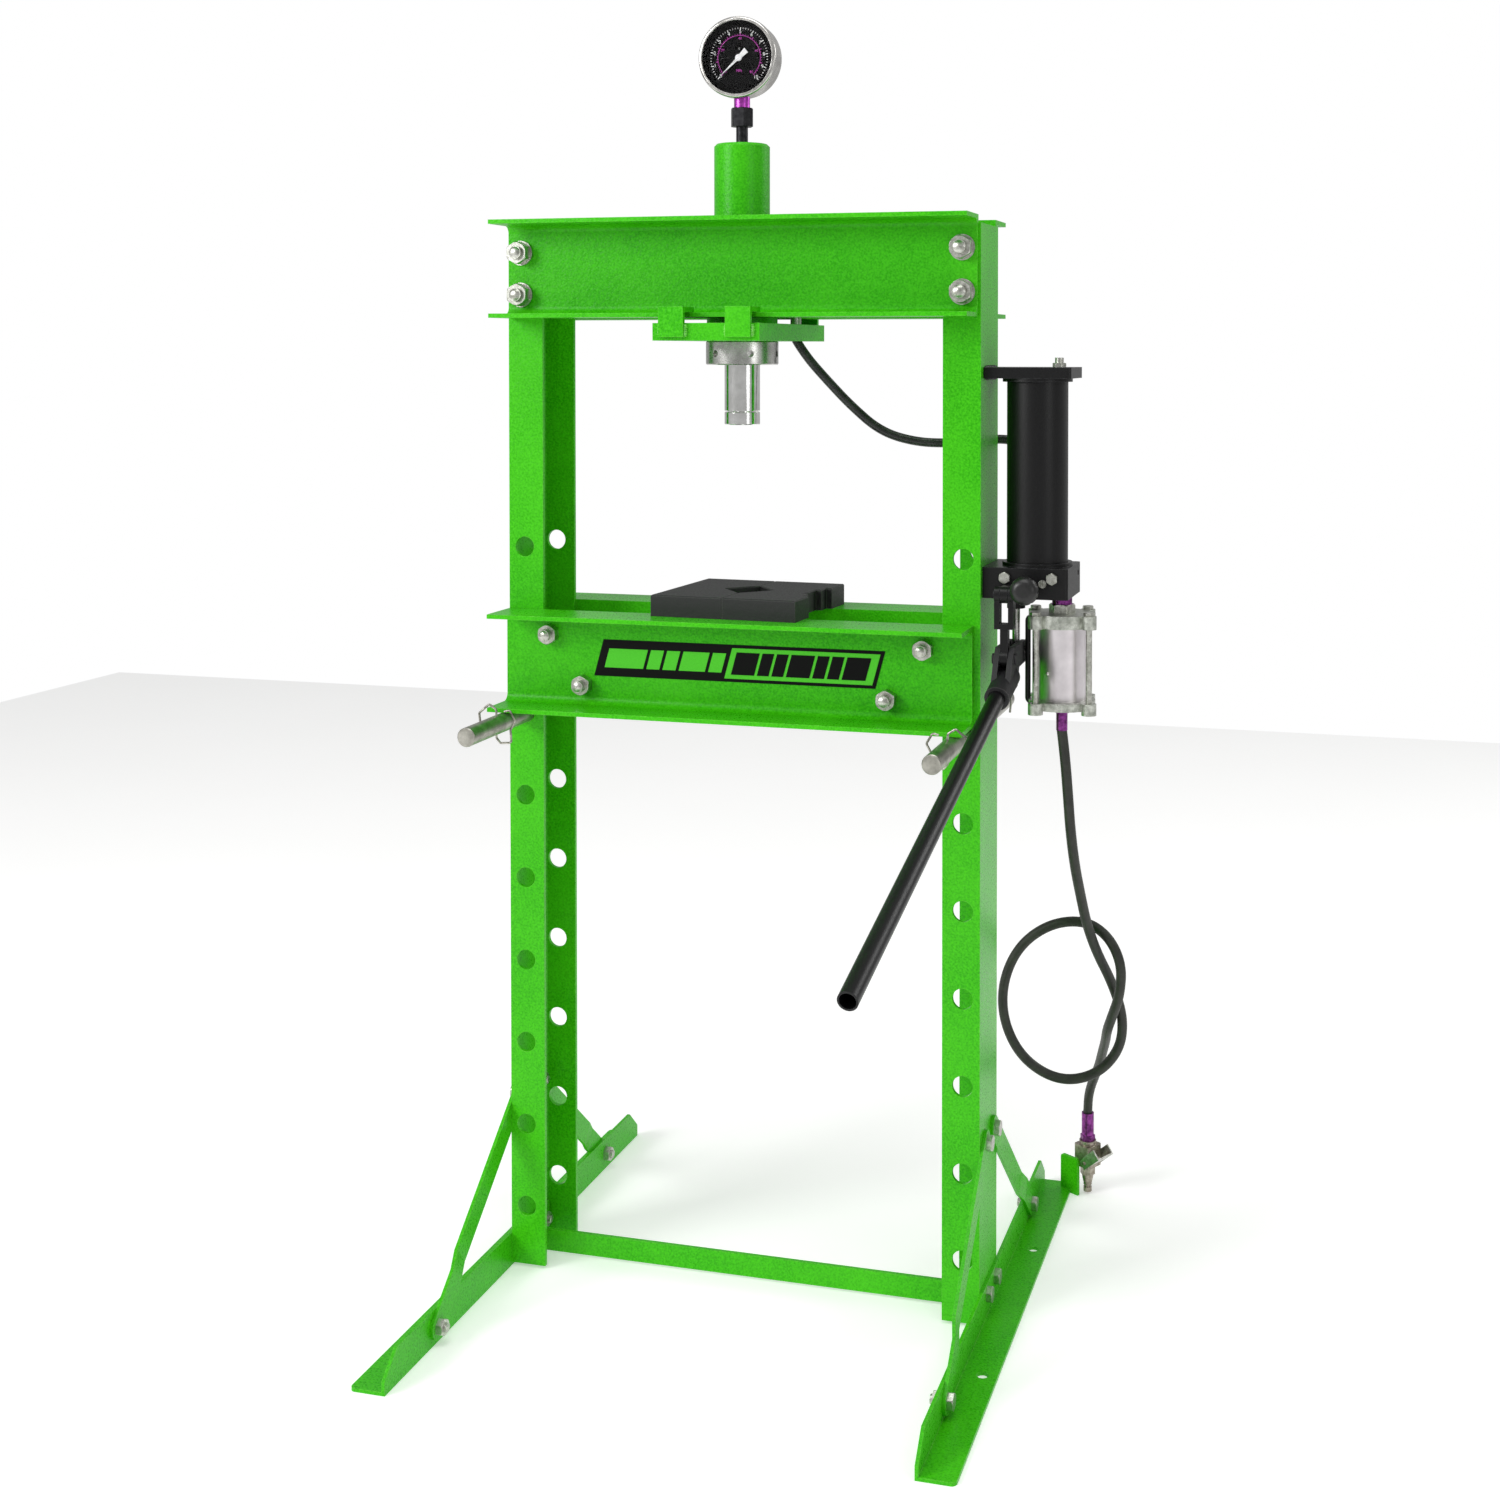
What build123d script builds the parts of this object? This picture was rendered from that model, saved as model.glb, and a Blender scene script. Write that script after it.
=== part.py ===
from build123d import *
import math
import os

# Shop press: two channel columns, a bolted head, a bed on pins, a hydraulic cylinder with a gauge,
# and a hand/air pump on the right column. Millimetres, +Z up, +X to the pump, +Y to the rear.
# The origin is on the floor, midway between the columns.

# Frame
frame_width = 580.0  # over the two column webs
column_height = 1251.0
column_depth = 95.0
column_flange = 44.0
column_wall = 5.0
column_lift = 4.0  # the columns end this far above the floor
hole_pitch = 100.0
hole_count = 9
hole_top_drop = 380.0  # column top to the first pin hole
hole_inset = 20.0  # web to the line of holes
pin_dia = 22.0
pin_hole_play = 2.0
bed_hole = 2  # the hole, counted from the top, that the bed pins sit in

beam_height = 115.0  # head and bed channels
beam_flange = 60.0
beam_web = 6.0
beam_lip = 5.0
head_end_inset = 3.0
head_above_column = 9.0
head_bolt_pitch = 50.0
head_bolt_dia = 16.0
bolt_play = 1.0

# Feet, braces and cross bar
foot_length = 700.0
foot_width = 42.0
foot_height = 40.0
foot_wall = 4.0
foot_end_height = 15.0
foot_end_slope = 27.0
anchor_dia = 13.0
anchor_inset = 25.5
anchor_spacing = 300.0
base_bolt_dia = 10.0
base_bolt_pitch = 44.0
foot_bolt_height = 28.0
brace_top_height = 203.0
brace_foot_reach = 238.0
brace_foot_height = 20.0
brace_width = 28.0
brace_wall = 4.0
bar_height = 26.0
bar_wall = 5.0
bar_bottom = 4.0
bar_set_forward = 3.0

# Bed
bed_shift = -4.0
bed_end_inset = 4.0
bed_side_play = 0.8
seat_gap = 0.3
tie_bolt_dia = 14.0
tie_upper_inset = 60.0
tie_lower_inset = 103.0
tie_upper_drop = 28.0
tie_lower_drop = 87.0
spacer_wall = 3.5
pin_length = 400.0
clip_wire = 2.6
clip_at = 124.0  # from the middle of the pin

# Arbor plates
plate_width = 90.0
plate_length = 170.0
plate_thick = 25.0
plate_vee_width = 70.0
plate_vee_depth = 31.0
plate_notch = 40.0  # half the length of the right plate's side notch
plate_notch_deep = 7.0
plate_turn = -3.0
plate_centre = (-4.5, 10.0)

# Cylinder
ram_x = -10.0
carrier_width = 128.0
carrier_depth = 250.0
carrier_thick = 20.0
carrier_hang = 7.0  # gap under the head while the hooks carry the cylinder
hook_width = 30.0
hook_offset = 40.0
hook_wall = 6.0
hook_reach = 12.0
tube_dia = 66.0
tube_bore = 52.0
tube_above_carrier = 213.0
tube_below_carrier = 16.0
tube_cap = 14.0
collar_dia = 84.0
collar_height = 9.0
gland_dia = 86.0
gland_height = 28.0
rod_dia = 42.0
rod_play = 0.1  # radial
piston_height = 20.0
piston_top_gap = 12.0
rod_showing = 55.0
saddle_height = 15.0
groove = 1.0
spring_wire = 3.0
spring_turns = 12

# Gauge
pipe_dia = 14.0
pipe_height = 21.0
bush_flats = 24.0
bush_height = 22.0
stem_dia = 19.0
stem_height = 12.0
gauge_radius = 46.0
bezel_radius = 48.0
dial_radius = 43.0
gauge_depth = 30.0
gauge_wall = 1.5

# Pump
pump_y = 6.0
bracket_reach = 100.0
bracket_span = 81.0
bracket_thick = 12.5
bracket_top = 1092.0
block_reach = 97.5
block_span = 88.0
block_height = 35.0
block_bottom = 831.0
boss_dia = 80.0
boss_height = 4.0
tank_dia = 70.0
tank_wall = 3.0
tank_out = 55.0  # column web to the tank's axis
lever_out = 30.0  # column web to the lever's middle plane
plunger_dia = 9.0
plunger_gland_drop = 16.0
fulcrum_forward = 58.0
fulcrum_height = 766.0
plunger_y = 8.0
link_top_height = 838.0
eye_radius = 9.5
eye_wall = 9.0
cheek_wall = 6.0
pivot_dia = 8.0
pivot_play = 0.1  # radial
side_gap = 0.4  # each side of an eye
handle_dia = 19.0
handle_wall = 1.8
handle_length = 600.0
handle_drop_deg = 16.5
handle_yaw_deg = 1.7
socket_dia = 28.0
socket_length = 58.0
socket_below = 25.0
handle_seat = 42.0
knob_dia = 32.0
knob_out = 55.0
knob_height = 845.0
knob_forward = 31.0
knob_thick = 16.0

# Air motor
motor_out = 84.0
motor_y = 5.0
barrel_dia = 54.0
barrel_wall = 2.5
barrel_height = 84.0
cap_span = 60.0  # between tie rods
cap_turn = 10.0  # the rods' square, about the motor's axis
cap_dia = 76.0
cap_top_thick = 15.0
cap_low_thick = 9.0
lug_dia = 17.0
rod_tie_dia = 7.0
nipple_dia = 23.0
nut_flats = 27.0
nut_height = 10.0
nipple_height = 9.0
ferrule_dia = 13.0
ferrule_height = 27.0

# Valve
valve_turn = -31.0
valve_back = 12.0  # foot's rear end to the tab
tab_width = 29.0
tab_height = 48.0
valve_width = 26.0
valve_bottom = 38.0
valve_height = 28.0
valve_boss_dia = 22.0
valve_boss_height = 5.0
valve_ferrule_dia = 16.0
valve_ferrule_height = 36.0
lever_wall = 2.0
lever_rise_deg = 40.0

# Hoses
hydraulic_dia = 11.0
air_dia = 12.0

# Places worked out from the sizes above
web = frame_width / 2
column_top = column_lift + column_height
face = column_depth / 2
pin_x = web - hole_inset
hole_top = column_top - hole_top_drop
hole_dia = pin_dia + pin_hole_play
head_top = column_top + head_above_column
head_low = head_top - beam_height
pin_z = hole_top - bed_hole * hole_pitch - (hole_dia - pin_dia) / 2 + 0.1
bed_low = pin_z + pin_dia / 2 + seat_gap
bed_top = bed_low + beam_height
carrier_top = head_low - carrier_hang
carrier_low = carrier_top - carrier_thick
tube_top = carrier_top + tube_above_carrier
tube_low = carrier_low - tube_below_carrier
gland_low = carrier_low - gland_height
block_top = block_bottom + block_height
lever_x = web + lever_out
motor_x = web + motor_out
tank_x = web + tank_out

nodes = {}


def box(x0, x1, y0, y1, z0, z1):
    return Pos((x0 + x1) / 2, (y0 + y1) / 2, (z0 + z1) / 2) * Box(x1 - x0, y1 - y0, z1 - z0)


def rod(dia, start, end):
    """A round bar from one point to another."""
    a = Vector(*start)
    b = Vector(*end)
    plane = Plane(origin=a, z_dir=b - a)
    return plane * Pos(0, 0, (b - a).length / 2) * Cylinder(dia / 2, (b - a).length)


def hexagon(flats, start, end):
    """A hexagonal bar from one point to another."""
    a = Vector(*start)
    b = Vector(*end)
    plane = Plane(origin=a, z_dir=b - a)
    outline = RegularPolygon(flats / 2, 6, major_radius=False)
    return plane * extrude(outline, (b - a).length)


def chamfered_hexagon(flats, start, end):
    """A nut or bolt head with its outer corners turned off."""
    a = Vector(*start)
    b = Vector(*end)
    height = (b - a).length
    cone = Plane(origin=a, z_dir=b - a) * Pos(0, 0, height / 2) * Cylinder(flats * 0.56, height)
    return hexagon(flats, start, end) & chamfer(cone.faces().sort_by_distance(b)[0].edges(), flats * 0.05)


def group(parts):
    return Compound(children=list(parts))


def channel_outline(height, flange, web_wall, lip, inner_radius):
    """A channel's section: web along X = 0, flanges towards +X, height along Y."""
    h = height / 2
    outline = Polyline(
        (0, -h), (flange, -h), (flange, lip - h), (web_wall, lip - h),
        (web_wall, h - lip), (flange, h - lip), (flange, h), (0, h), close=True)
    face_2d = make_face(outline)
    corners = [v for v in face_2d.vertices() if abs(v.X - web_wall) < 0.01]
    return fillet(corners, inner_radius)


def column(side):
    outline = channel_outline(column_depth, column_flange, column_wall, column_wall, 2)
    turn = 0 if side < 0 else 180
    body = Pos(side * web, 0, column_lift) * Rot(0, 0, turn) * extrude(outline, column_height)
    holes = []
    pin_heights = [hole_top - i * hole_pitch for i in range(hole_count)]
    for dia, heights in ((hole_dia, pin_heights), (head_bolt_dia + bolt_play, head_bolt_heights())):
        for z in heights:
            for y in (-face, face - column_wall):
                holes.append(rod(dia, (side * pin_x, y - 1, z), (side * pin_x, y + column_wall + 1, z)))
    for y, z in base_bolt_places():
        start, end = side * (web - column_wall - 1), side * (web + 1)
        holes.append(rod(base_bolt_dia + bolt_play, (start, y, z), (end, y, z)))
    return body - holes


def head_bolt_heights():
    middle = (head_low + min(head_top, column_top)) / 2
    return [middle + head_bolt_pitch / 2, middle - head_bolt_pitch / 2]


def base_bolt_places():
    half = base_bolt_pitch / 2
    return [(y, z) for z in (foot_bolt_height, brace_top_height) for y in (-half, half)]


def beam(side, low, length, shift, play):
    """A head or bed channel: web against the columns, flanges away from them."""
    outline = channel_outline(beam_height, beam_flange, beam_web, beam_lip, 9)
    solid = extrude(outline, length)
    plane = Plane(origin=(shift - length / 2, side * (face + play), low + beam_height / 2),
                  x_dir=(0, side, 0), z_dir=(1, 0, 0))
    return plane * solid


def head():
    length = frame_width - 2 * head_end_inset
    for name, side in (("front_head_channel", -1), ("rear_head_channel", 1)):
        body = beam(side, head_low, length, 0, 0)
        for sx in (-1, 1):
            for z in head_bolt_heights():
                body -= rod(head_bolt_dia + bolt_play, (sx * pin_x, side * (face - 1), z),
                            (sx * pin_x, side * (face + beam_web + 1), z))
        nodes[name] = body
    bolts = []
    nuts = []
    washer = 3.0
    head_height = head_bolt_dia * 0.62
    nut = head_bolt_dia * 0.8
    flats = head_bolt_dia * 1.5
    for sx in (-1, 1):
        for sy in (-1, 1):
            for z in head_bolt_heights():
                inside = sy * (face - column_wall)
                outside = sy * (face + beam_web)
                nut_base = outside + sy * washer
                nut_end = nut_base + sy * nut
                place = lambda y: (sx * pin_x, y, z)
                bolts.append(chamfered_hexagon(flats, place(inside), place(inside - sy * head_height))
                             + rod(head_bolt_dia, place(inside), place(nut_end + sy * 4)))
                disc = rod(head_bolt_dia * 1.85, place(outside), place(nut_base))
                collar = chamfered_hexagon(flats, place(nut_base), place(nut_end))
                hole = rod(head_bolt_dia, place(inside), place(nut_end + sy * 9))
                nuts += [disc - hole, collar - hole]
    nodes["head_bolts"] = group(bolts)
    nodes["head_nuts"] = group(nuts)


def foot(side):
    """An angle section from front to back; its upright leg is against the column."""
    half = foot_length / 2
    leg = Plane(origin=(side * web, 0, 0), x_dir=(0, 1, 0), z_dir=(side, 0, 0))
    corner = half - foot_end_slope
    outline = make_face(Polyline(
        (-half, 0), (half, 0), (half, foot_end_height), (corner, foot_height),
        (-corner, foot_height), (-half, foot_end_height), close=True))
    if side < 0:
        outline = mirror(outline, Plane.YZ)
        leg = Plane(origin=(-web, 0, 0), x_dir=(0, -1, 0), z_dir=(-1, 0, 0))
    body = leg * extrude(outline, foot_wall)
    sole = box(min(side * web, side * (web + foot_width)), max(side * web, side * (web + foot_width)),
               -half, half, 0, foot_wall)
    sole = fillet(sole.edges().filter_by(Axis.Z).group_by(Axis.X)[-1 if side > 0 else 0], 6)
    body += sole
    if side > 0:
        body += valve_tab()
    for y in (-anchor_spacing / 2, anchor_spacing / 2):
        x = side * (web + anchor_inset)
        body -= rod(anchor_dia, (x, y, -1), (x, y, foot_wall + 1))
    for y, z in [p for p in base_bolt_places() if p[1] == foot_bolt_height]:
        body -= rod(base_bolt_dia + bolt_play, (side * (web - 1), y, z), (side * (web + 12), y, z))
    for sy in (-1, 1):
        y = sy * brace_foot_reach
        body -= rod(base_bolt_dia + bolt_play, (side * (web - 1), y, brace_foot_height),
                    (side * (web + 12), y, brace_foot_height))
    return body


def valve_frame(u, v):
    """A place on the valve: u along its tab from the tab's left edge, v behind the tab."""
    turn = math.radians(valve_turn)
    x0 = web + foot_width - 12
    y0 = foot_length / 2 - valve_back
    return (x0 + u * math.cos(turn) - v * math.sin(turn), y0 + u * math.sin(turn) + v * math.cos(turn))


def valve_box(u0, u1, v0, v1, z0, z1):
    x, y = valve_frame((u0 + u1) / 2, (v0 + v1) / 2)
    return Pos(x, y, (z0 + z1) / 2) * Rot(0, 0, valve_turn) * Box(u1 - u0, v1 - v0, z1 - z0)


def valve_tab():
    tab = valve_box(0, tab_width, -foot_wall, 0, 0, tab_height)
    across = valve_frame(0, 1)[0] - valve_frame(0, 0)[0], valve_frame(0, 1)[1] - valve_frame(0, 0)[1]
    upper = [e for e in tab.faces().sort_by(Axis.Z)[-1].edges()
             if abs((e % 0.5).dot(Vector(*across))) > 0.9]
    return fillet(upper, 4)


def brace(side, end, inner):
    """A flat bar from the web's outer face to a foot; inner puts its low end inside the foot's leg."""
    top = Vector(0, end * base_bolt_pitch / 2, brace_top_height)
    low = Vector(0, end * brace_foot_reach, brace_foot_height)
    along = low - top
    length = along.length
    step = -brace_wall if inner else foot_wall
    r = brace_width / 2
    bend = length * 0.72
    run = 22.0
    side_view = make_face(Polyline(
        (-r, 0), (bend, 0), (bend + run, step), (length + r, step), (length + r, step + brace_wall),
        (bend + run, step + brace_wall), (bend, brace_wall), (-r, brace_wall), close=True))
    plan = Pos(length / 2, 0) * SlotCenterToCenter(length, brace_width)
    x_dir = along.normalized()
    origin = (side * web, top.Y, top.Z)
    normal = Vector(side, 0, 0)
    flat = Plane(origin=origin, x_dir=x_dir, z_dir=normal)
    bar = flat * Pos(0, 0, -2 * foot_wall) * extrude(plan, 6 * foot_wall)
    across = x_dir.cross(normal)
    upright = Plane(origin=Vector(*origin) - across * (-r), x_dir=x_dir, z_dir=-across)
    if (upright.y_dir - normal).length > 0.1:
        upright = Plane(origin=Vector(*origin) - across * r, x_dir=x_dir, z_dir=across)
    bar &= upright * extrude(side_view, brace_width)
    for p in (top, low):
        bar -= rod(base_bolt_dia + bolt_play, (side * (web - 9), p.Y, p.Z), (side * (web + 14), p.Y, p.Z))
    return bar


def base():
    for name, side in (("left_foot", -1), ("right_foot", 1)):
        nodes[name] = foot(side)
    nodes["left_foot_braces"] = group([brace(-1, -1, True), brace(-1, 1, False)])
    nodes["right_foot_braces"] = group([brace(1, -1, False), brace(1, 1, False)])
    tab_wall = 4.0
    bar_half = web - column_wall - tab_wall
    bar = box(-bar_half, bar_half, -bar_set_forward - bar_wall, -bar_set_forward, bar_bottom,
              bar_bottom + bar_height)
    for side in (-1, 1):
        x0, x1 = sorted((side * bar_half, side * (bar_half + tab_wall)))
        bar += box(x0, x1, -face + column_wall + 3.5, face - column_wall - 3.5, bar_bottom,
                   foot_bolt_height + 16)
        for y in (-base_bolt_pitch / 2, base_bolt_pitch / 2):
            bar -= rod(base_bolt_dia + bolt_play, (x0 - 1, y, foot_bolt_height), (x1 + 1, y, foot_bolt_height))
    nodes["cross_bar"] = bar
    bolts = []
    nuts = []
    for side in (-1, 1):
        for y, z in base_bolt_places():
            low = z == foot_bolt_height
            outside = foot_wall if low else brace_wall
            inside = column_wall + (tab_wall if low else 0)
            add_base_bolt(bolts, nuts, side, y, z, outside, inside)
        for end in (-1, 1):
            inner = side < 0 and end < 0
            inside = brace_wall if inner else 0
            outside = foot_wall if inner else foot_wall + brace_wall
            add_base_bolt(bolts, nuts, side, end * brace_foot_reach, brace_foot_height, outside, inside)
    nodes["base_bolts"] = group(bolts)
    nodes["base_nuts"] = group(nuts)


def add_base_bolt(bolts, nuts, side, y, z, outside, inside):
    """A bolt from outside, through what is clamped on either side of the web's outer face."""
    flats = base_bolt_dia * 1.7
    height = base_bolt_dia * 0.64
    nut = base_bolt_dia * 0.8
    place = lambda x: (side * (web + x), y, z)
    bolts.append(chamfered_hexagon(flats, place(outside), place(outside + height))
                 + rod(base_bolt_dia, place(outside), place(-inside - nut - 3)))
    nuts.append(chamfered_hexagon(flats, place(-inside), place(-inside - nut))
                - rod(base_bolt_dia, place(outside), place(-inside - nut - 6)))


def bed():
    length = frame_width - 2 * bed_end_inset
    inner = face + bed_side_play
    upper = web - tie_upper_inset
    lower = web - tie_lower_inset
    places = [(bed_shift + s * x, bed_top - drop)
              for x, drop in ((upper, tie_upper_drop), (lower, tie_lower_drop)) for s in (-1, 1)]
    for name, side in (("front_bed_channel", -1), ("rear_bed_channel", 1)):
        body = beam(side, bed_low, length, bed_shift, bed_side_play)
        for x, z in places:
            body -= rod(tie_bolt_dia + bolt_play, (x, side * (inner - 1), z), (x, side * (inner + beam_web + 1), z))
        nodes[name] = body
    bolts = []
    nuts = []
    spacers = []
    flats = tie_bolt_dia * 1.55
    nut = tie_bolt_dia * 0.8
    outer = inner + beam_web
    for x, z in places:
        bolts.append(chamfered_hexagon(flats, (x, outer, z), (x, outer + nut, z))
                     + rod(tie_bolt_dia, (x, outer, z), (x, -outer - nut - 8, z)))
        nuts.append(chamfered_hexagon(flats, (x, -outer, z), (x, -outer - nut, z))
                    - rod(tie_bolt_dia, (x, 0, z), (x, -outer - nut - 9, z)))
        sleeve = rod(tie_bolt_dia + bolt_play + 2 * spacer_wall, (x, -inner, z), (x, inner, z))
        spacers.append(sleeve - rod(tie_bolt_dia + bolt_play, (x, -inner - 1, z), (x, inner + 1, z)))
    nodes["bed_tie_bolts"] = group(bolts)
    nodes["bed_tie_nuts"] = group(nuts)
    nodes["bed_spacer_tubes"] = group(spacers)


def pin_clip(x, y, side):
    """A wire clip: a leg through the pin, a wide lobe outside it and a hook that hugs its inner side."""
    r = pin_dia / 2
    path = FilletPolyline(
        (side * (r + 9), -3), (side * (r + 11), r + 2), (side * 9, r + 13), (0, r + 7),
        (0, -r - 4), (-side * 5, -r - 10), (-side * 19, -r - 9), (-side * (r + 7), -5),
        (-side * (r + 13), 6), (-side * 17, r + 7), (-side * 10, r + 5), radius=3)
    plane = Plane(origin=(x, y, pin_z), x_dir=(1, 0, 0), z_dir=(0, -1, 0))
    wire = plane * path
    section = Plane(origin=wire @ 0, z_dir=wire % 0) * Circle(clip_wire / 2)
    return sweep(section, path=wire)


def pins():
    half = pin_length / 2
    for name, side in (("left", -1), ("right", 1)):
        x = side * pin_x
        body = rod(pin_dia, (x, -half, pin_z), (x, half, pin_z))
        body = chamfer(body.edges().filter_by(GeomType.CIRCLE), 1)
        for y in (-clip_at, clip_at):
            body -= rod(clip_wire + 0.6, (x, y, pin_z - pin_dia), (x, y, pin_z + pin_dia))
        nodes[name + "_bed_pin"] = body
        nodes[name + "_pin_clips"] = group([pin_clip(x, y, side) for y in (-clip_at, clip_at)])


def arbor_plates():
    half = plate_length / 2
    gap = seat_gap / 2
    for name, side in (("left_arbor_plate", -1), ("right_arbor_plate", 1)):
        outer = gap + plate_width
        notch = []
        if side > 0:
            first, second = outer - plate_notch_deep, outer - 2 * plate_notch_deep
            wide, narrow = plate_notch, plate_notch * 0.55
            notch = [(outer, -wide), (first, -wide), (first, -narrow), (second, -narrow), (second, narrow), (first, narrow),
                     (first, wide), (outer, wide)]
        outline = make_face(Polyline(
            (gap, -half), (outer, -half), *notch, (outer, half), (gap, half),
            (gap, plate_vee_width / 2), (gap + plate_vee_depth, 0), (gap, -plate_vee_width / 2), close=True))
        if side < 0:
            outline = mirror(outline, Plane.YZ)
        body = extrude(outline, plate_thick)
        body = chamfer(body.faces().sort_by(Axis.Z)[-1].edges(), 1.2)
        nodes[name] = Pos(plate_centre[0], plate_centre[1], bed_top) * Rot(0, 0, plate_turn) * body


def cylinder():
    half_w = carrier_width / 2
    half_d = carrier_depth / 2
    plate = box(ram_x - half_w, ram_x + half_w, -half_d, half_d, carrier_low, carrier_top)
    lip_low = head_low + beam_lip + 0.4
    flange_edge = face + beam_flange
    for sx in (-1, 1):
        for sy in (-1, 1):
            x = ram_x + sx * hook_offset
            x0, x1 = x - hook_width / 2, x + hook_width / 2
            y0, y1 = sorted((sy * half_d, sy * (half_d + hook_wall)))
            plate += box(x0, x1, y0, y1, carrier_low + 4, lip_low + hook_wall)
            y0, y1 = sorted((sy * (flange_edge - hook_reach), sy * (half_d + hook_wall)))
            plate += box(x0, x1, y0, y1, lip_low, lip_low + hook_wall)
    plate -= rod(tube_dia + 0.4, (ram_x, 0, carrier_low - 1), (ram_x, 0, carrier_top + 1))
    plate -= rod(hose_hole_dia(), (*port_place(), carrier_low - 1), (*port_place(), carrier_top + 1))
    nodes["support_plate"] = plate
    tube = rod(tube_dia, (ram_x, 0, tube_low), (ram_x, 0, tube_top))
    tube += rod(collar_dia, (ram_x, 0, carrier_top), (ram_x, 0, carrier_top + collar_height))
    tube = chamfer(tube.edges().filter_by(GeomType.CIRCLE).sort_by(Axis.Z)[-1], 3)
    tube -= rod(tube_bore, (ram_x, 0, tube_low - 1), (ram_x, 0, tube_top - tube_cap))
    tube -= rod(8, (ram_x, 0, tube_top - tube_cap - 1), (ram_x, 0, tube_top + 1))
    nodes["cylinder_tube"] = tube
    gland = rod(gland_dia, (ram_x, 0, gland_low), (ram_x, 0, carrier_low))
    gland = chamfer(gland.edges().filter_by(GeomType.CIRCLE), 1.2)
    gland -= rod(tube_dia, (ram_x, 0, tube_low), (ram_x, 0, carrier_low + 1))
    gland -= rod(rod_dia + 2 * rod_play, (ram_x, 0, gland_low - 1), (ram_x, 0, tube_low + 1))
    spanner = Pos(ram_x, 0, gland_low + gland_height * 0.47)
    for i in range(6):
        gland -= spanner * Rot(0, 0, 60 * i - 58) * Rot(0, 90, 0) * Pos(0, 0, gland_dia / 2) * Cylinder(4, 14)
    nodes["gland_nut"] = gland


def port_place():
    """Where the hydraulic hose drops past the support plate, right of the cylinder."""
    return (ram_x + tube_dia / 2 + 21, 40.0)


def hose_hole_dia():
    return ferrule_dia + 4


def ram():
    piston_high = tube_top - tube_cap - piston_top_gap
    piston_low = piston_high - piston_height
    seal_height = 5.0
    rod_end = gland_low - rod_showing
    body = rod(tube_bore - 0.6, (ram_x, 0, piston_low), (ram_x, 0, piston_high))
    ring = rod(tube_bore - 0.1, (ram_x, 0, piston_high - 9), (ram_x, 0, piston_high - 9 + seal_height))
    body -= rod(tube_bore + 2, (ram_x, 0, piston_high - 9), (ram_x, 0, piston_high - 9 + seal_height)) \
        - rod(tube_bore - 8, (ram_x, 0, piston_high - 10), (ram_x, 0, piston_high))
    ring -= rod(tube_bore - 8, (ram_x, 0, piston_high - 10), (ram_x, 0, piston_high))
    nodes["ram_piston"] = body
    nodes["piston_seal"] = ring
    spigot = rod_dia * 0.55
    shaft = rod(rod_dia, (ram_x, 0, rod_end), (ram_x, 0, piston_low))
    shaft = chamfer(shaft.edges().filter_by(GeomType.CIRCLE).sort_by(Axis.Z)[0], 0.8)
    shaft += rod(spigot, (ram_x, 0, rod_end - groove - saddle_height * 0.6), (ram_x, 0, rod_end))
    nodes["ram_rod"] = shaft
    high = rod_end - groove
    saddle = rod(rod_dia, (ram_x, 0, high - saddle_height), (ram_x, 0, high))
    saddle = chamfer(saddle.edges().filter_by(GeomType.CIRCLE), 0.8)
    nodes["ram_saddle"] = saddle - rod(spigot, (ram_x, 0, high - saddle_height * 0.6), (ram_x, 0, high + 1))
    mean = (rod_dia + tube_bore) / 4
    floor = tube_low + spring_wire / 2 + 0.5
    height = piston_low - spring_wire / 2 - 0.5 - floor
    coil = Pos(ram_x, 0, floor) * Helix(height / spring_turns, height, mean)
    section = Plane(origin=coil @ 0, z_dir=coil % 0) * Circle(spring_wire / 2)
    nodes["return_spring"] = sweep(section, path=coil)


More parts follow.
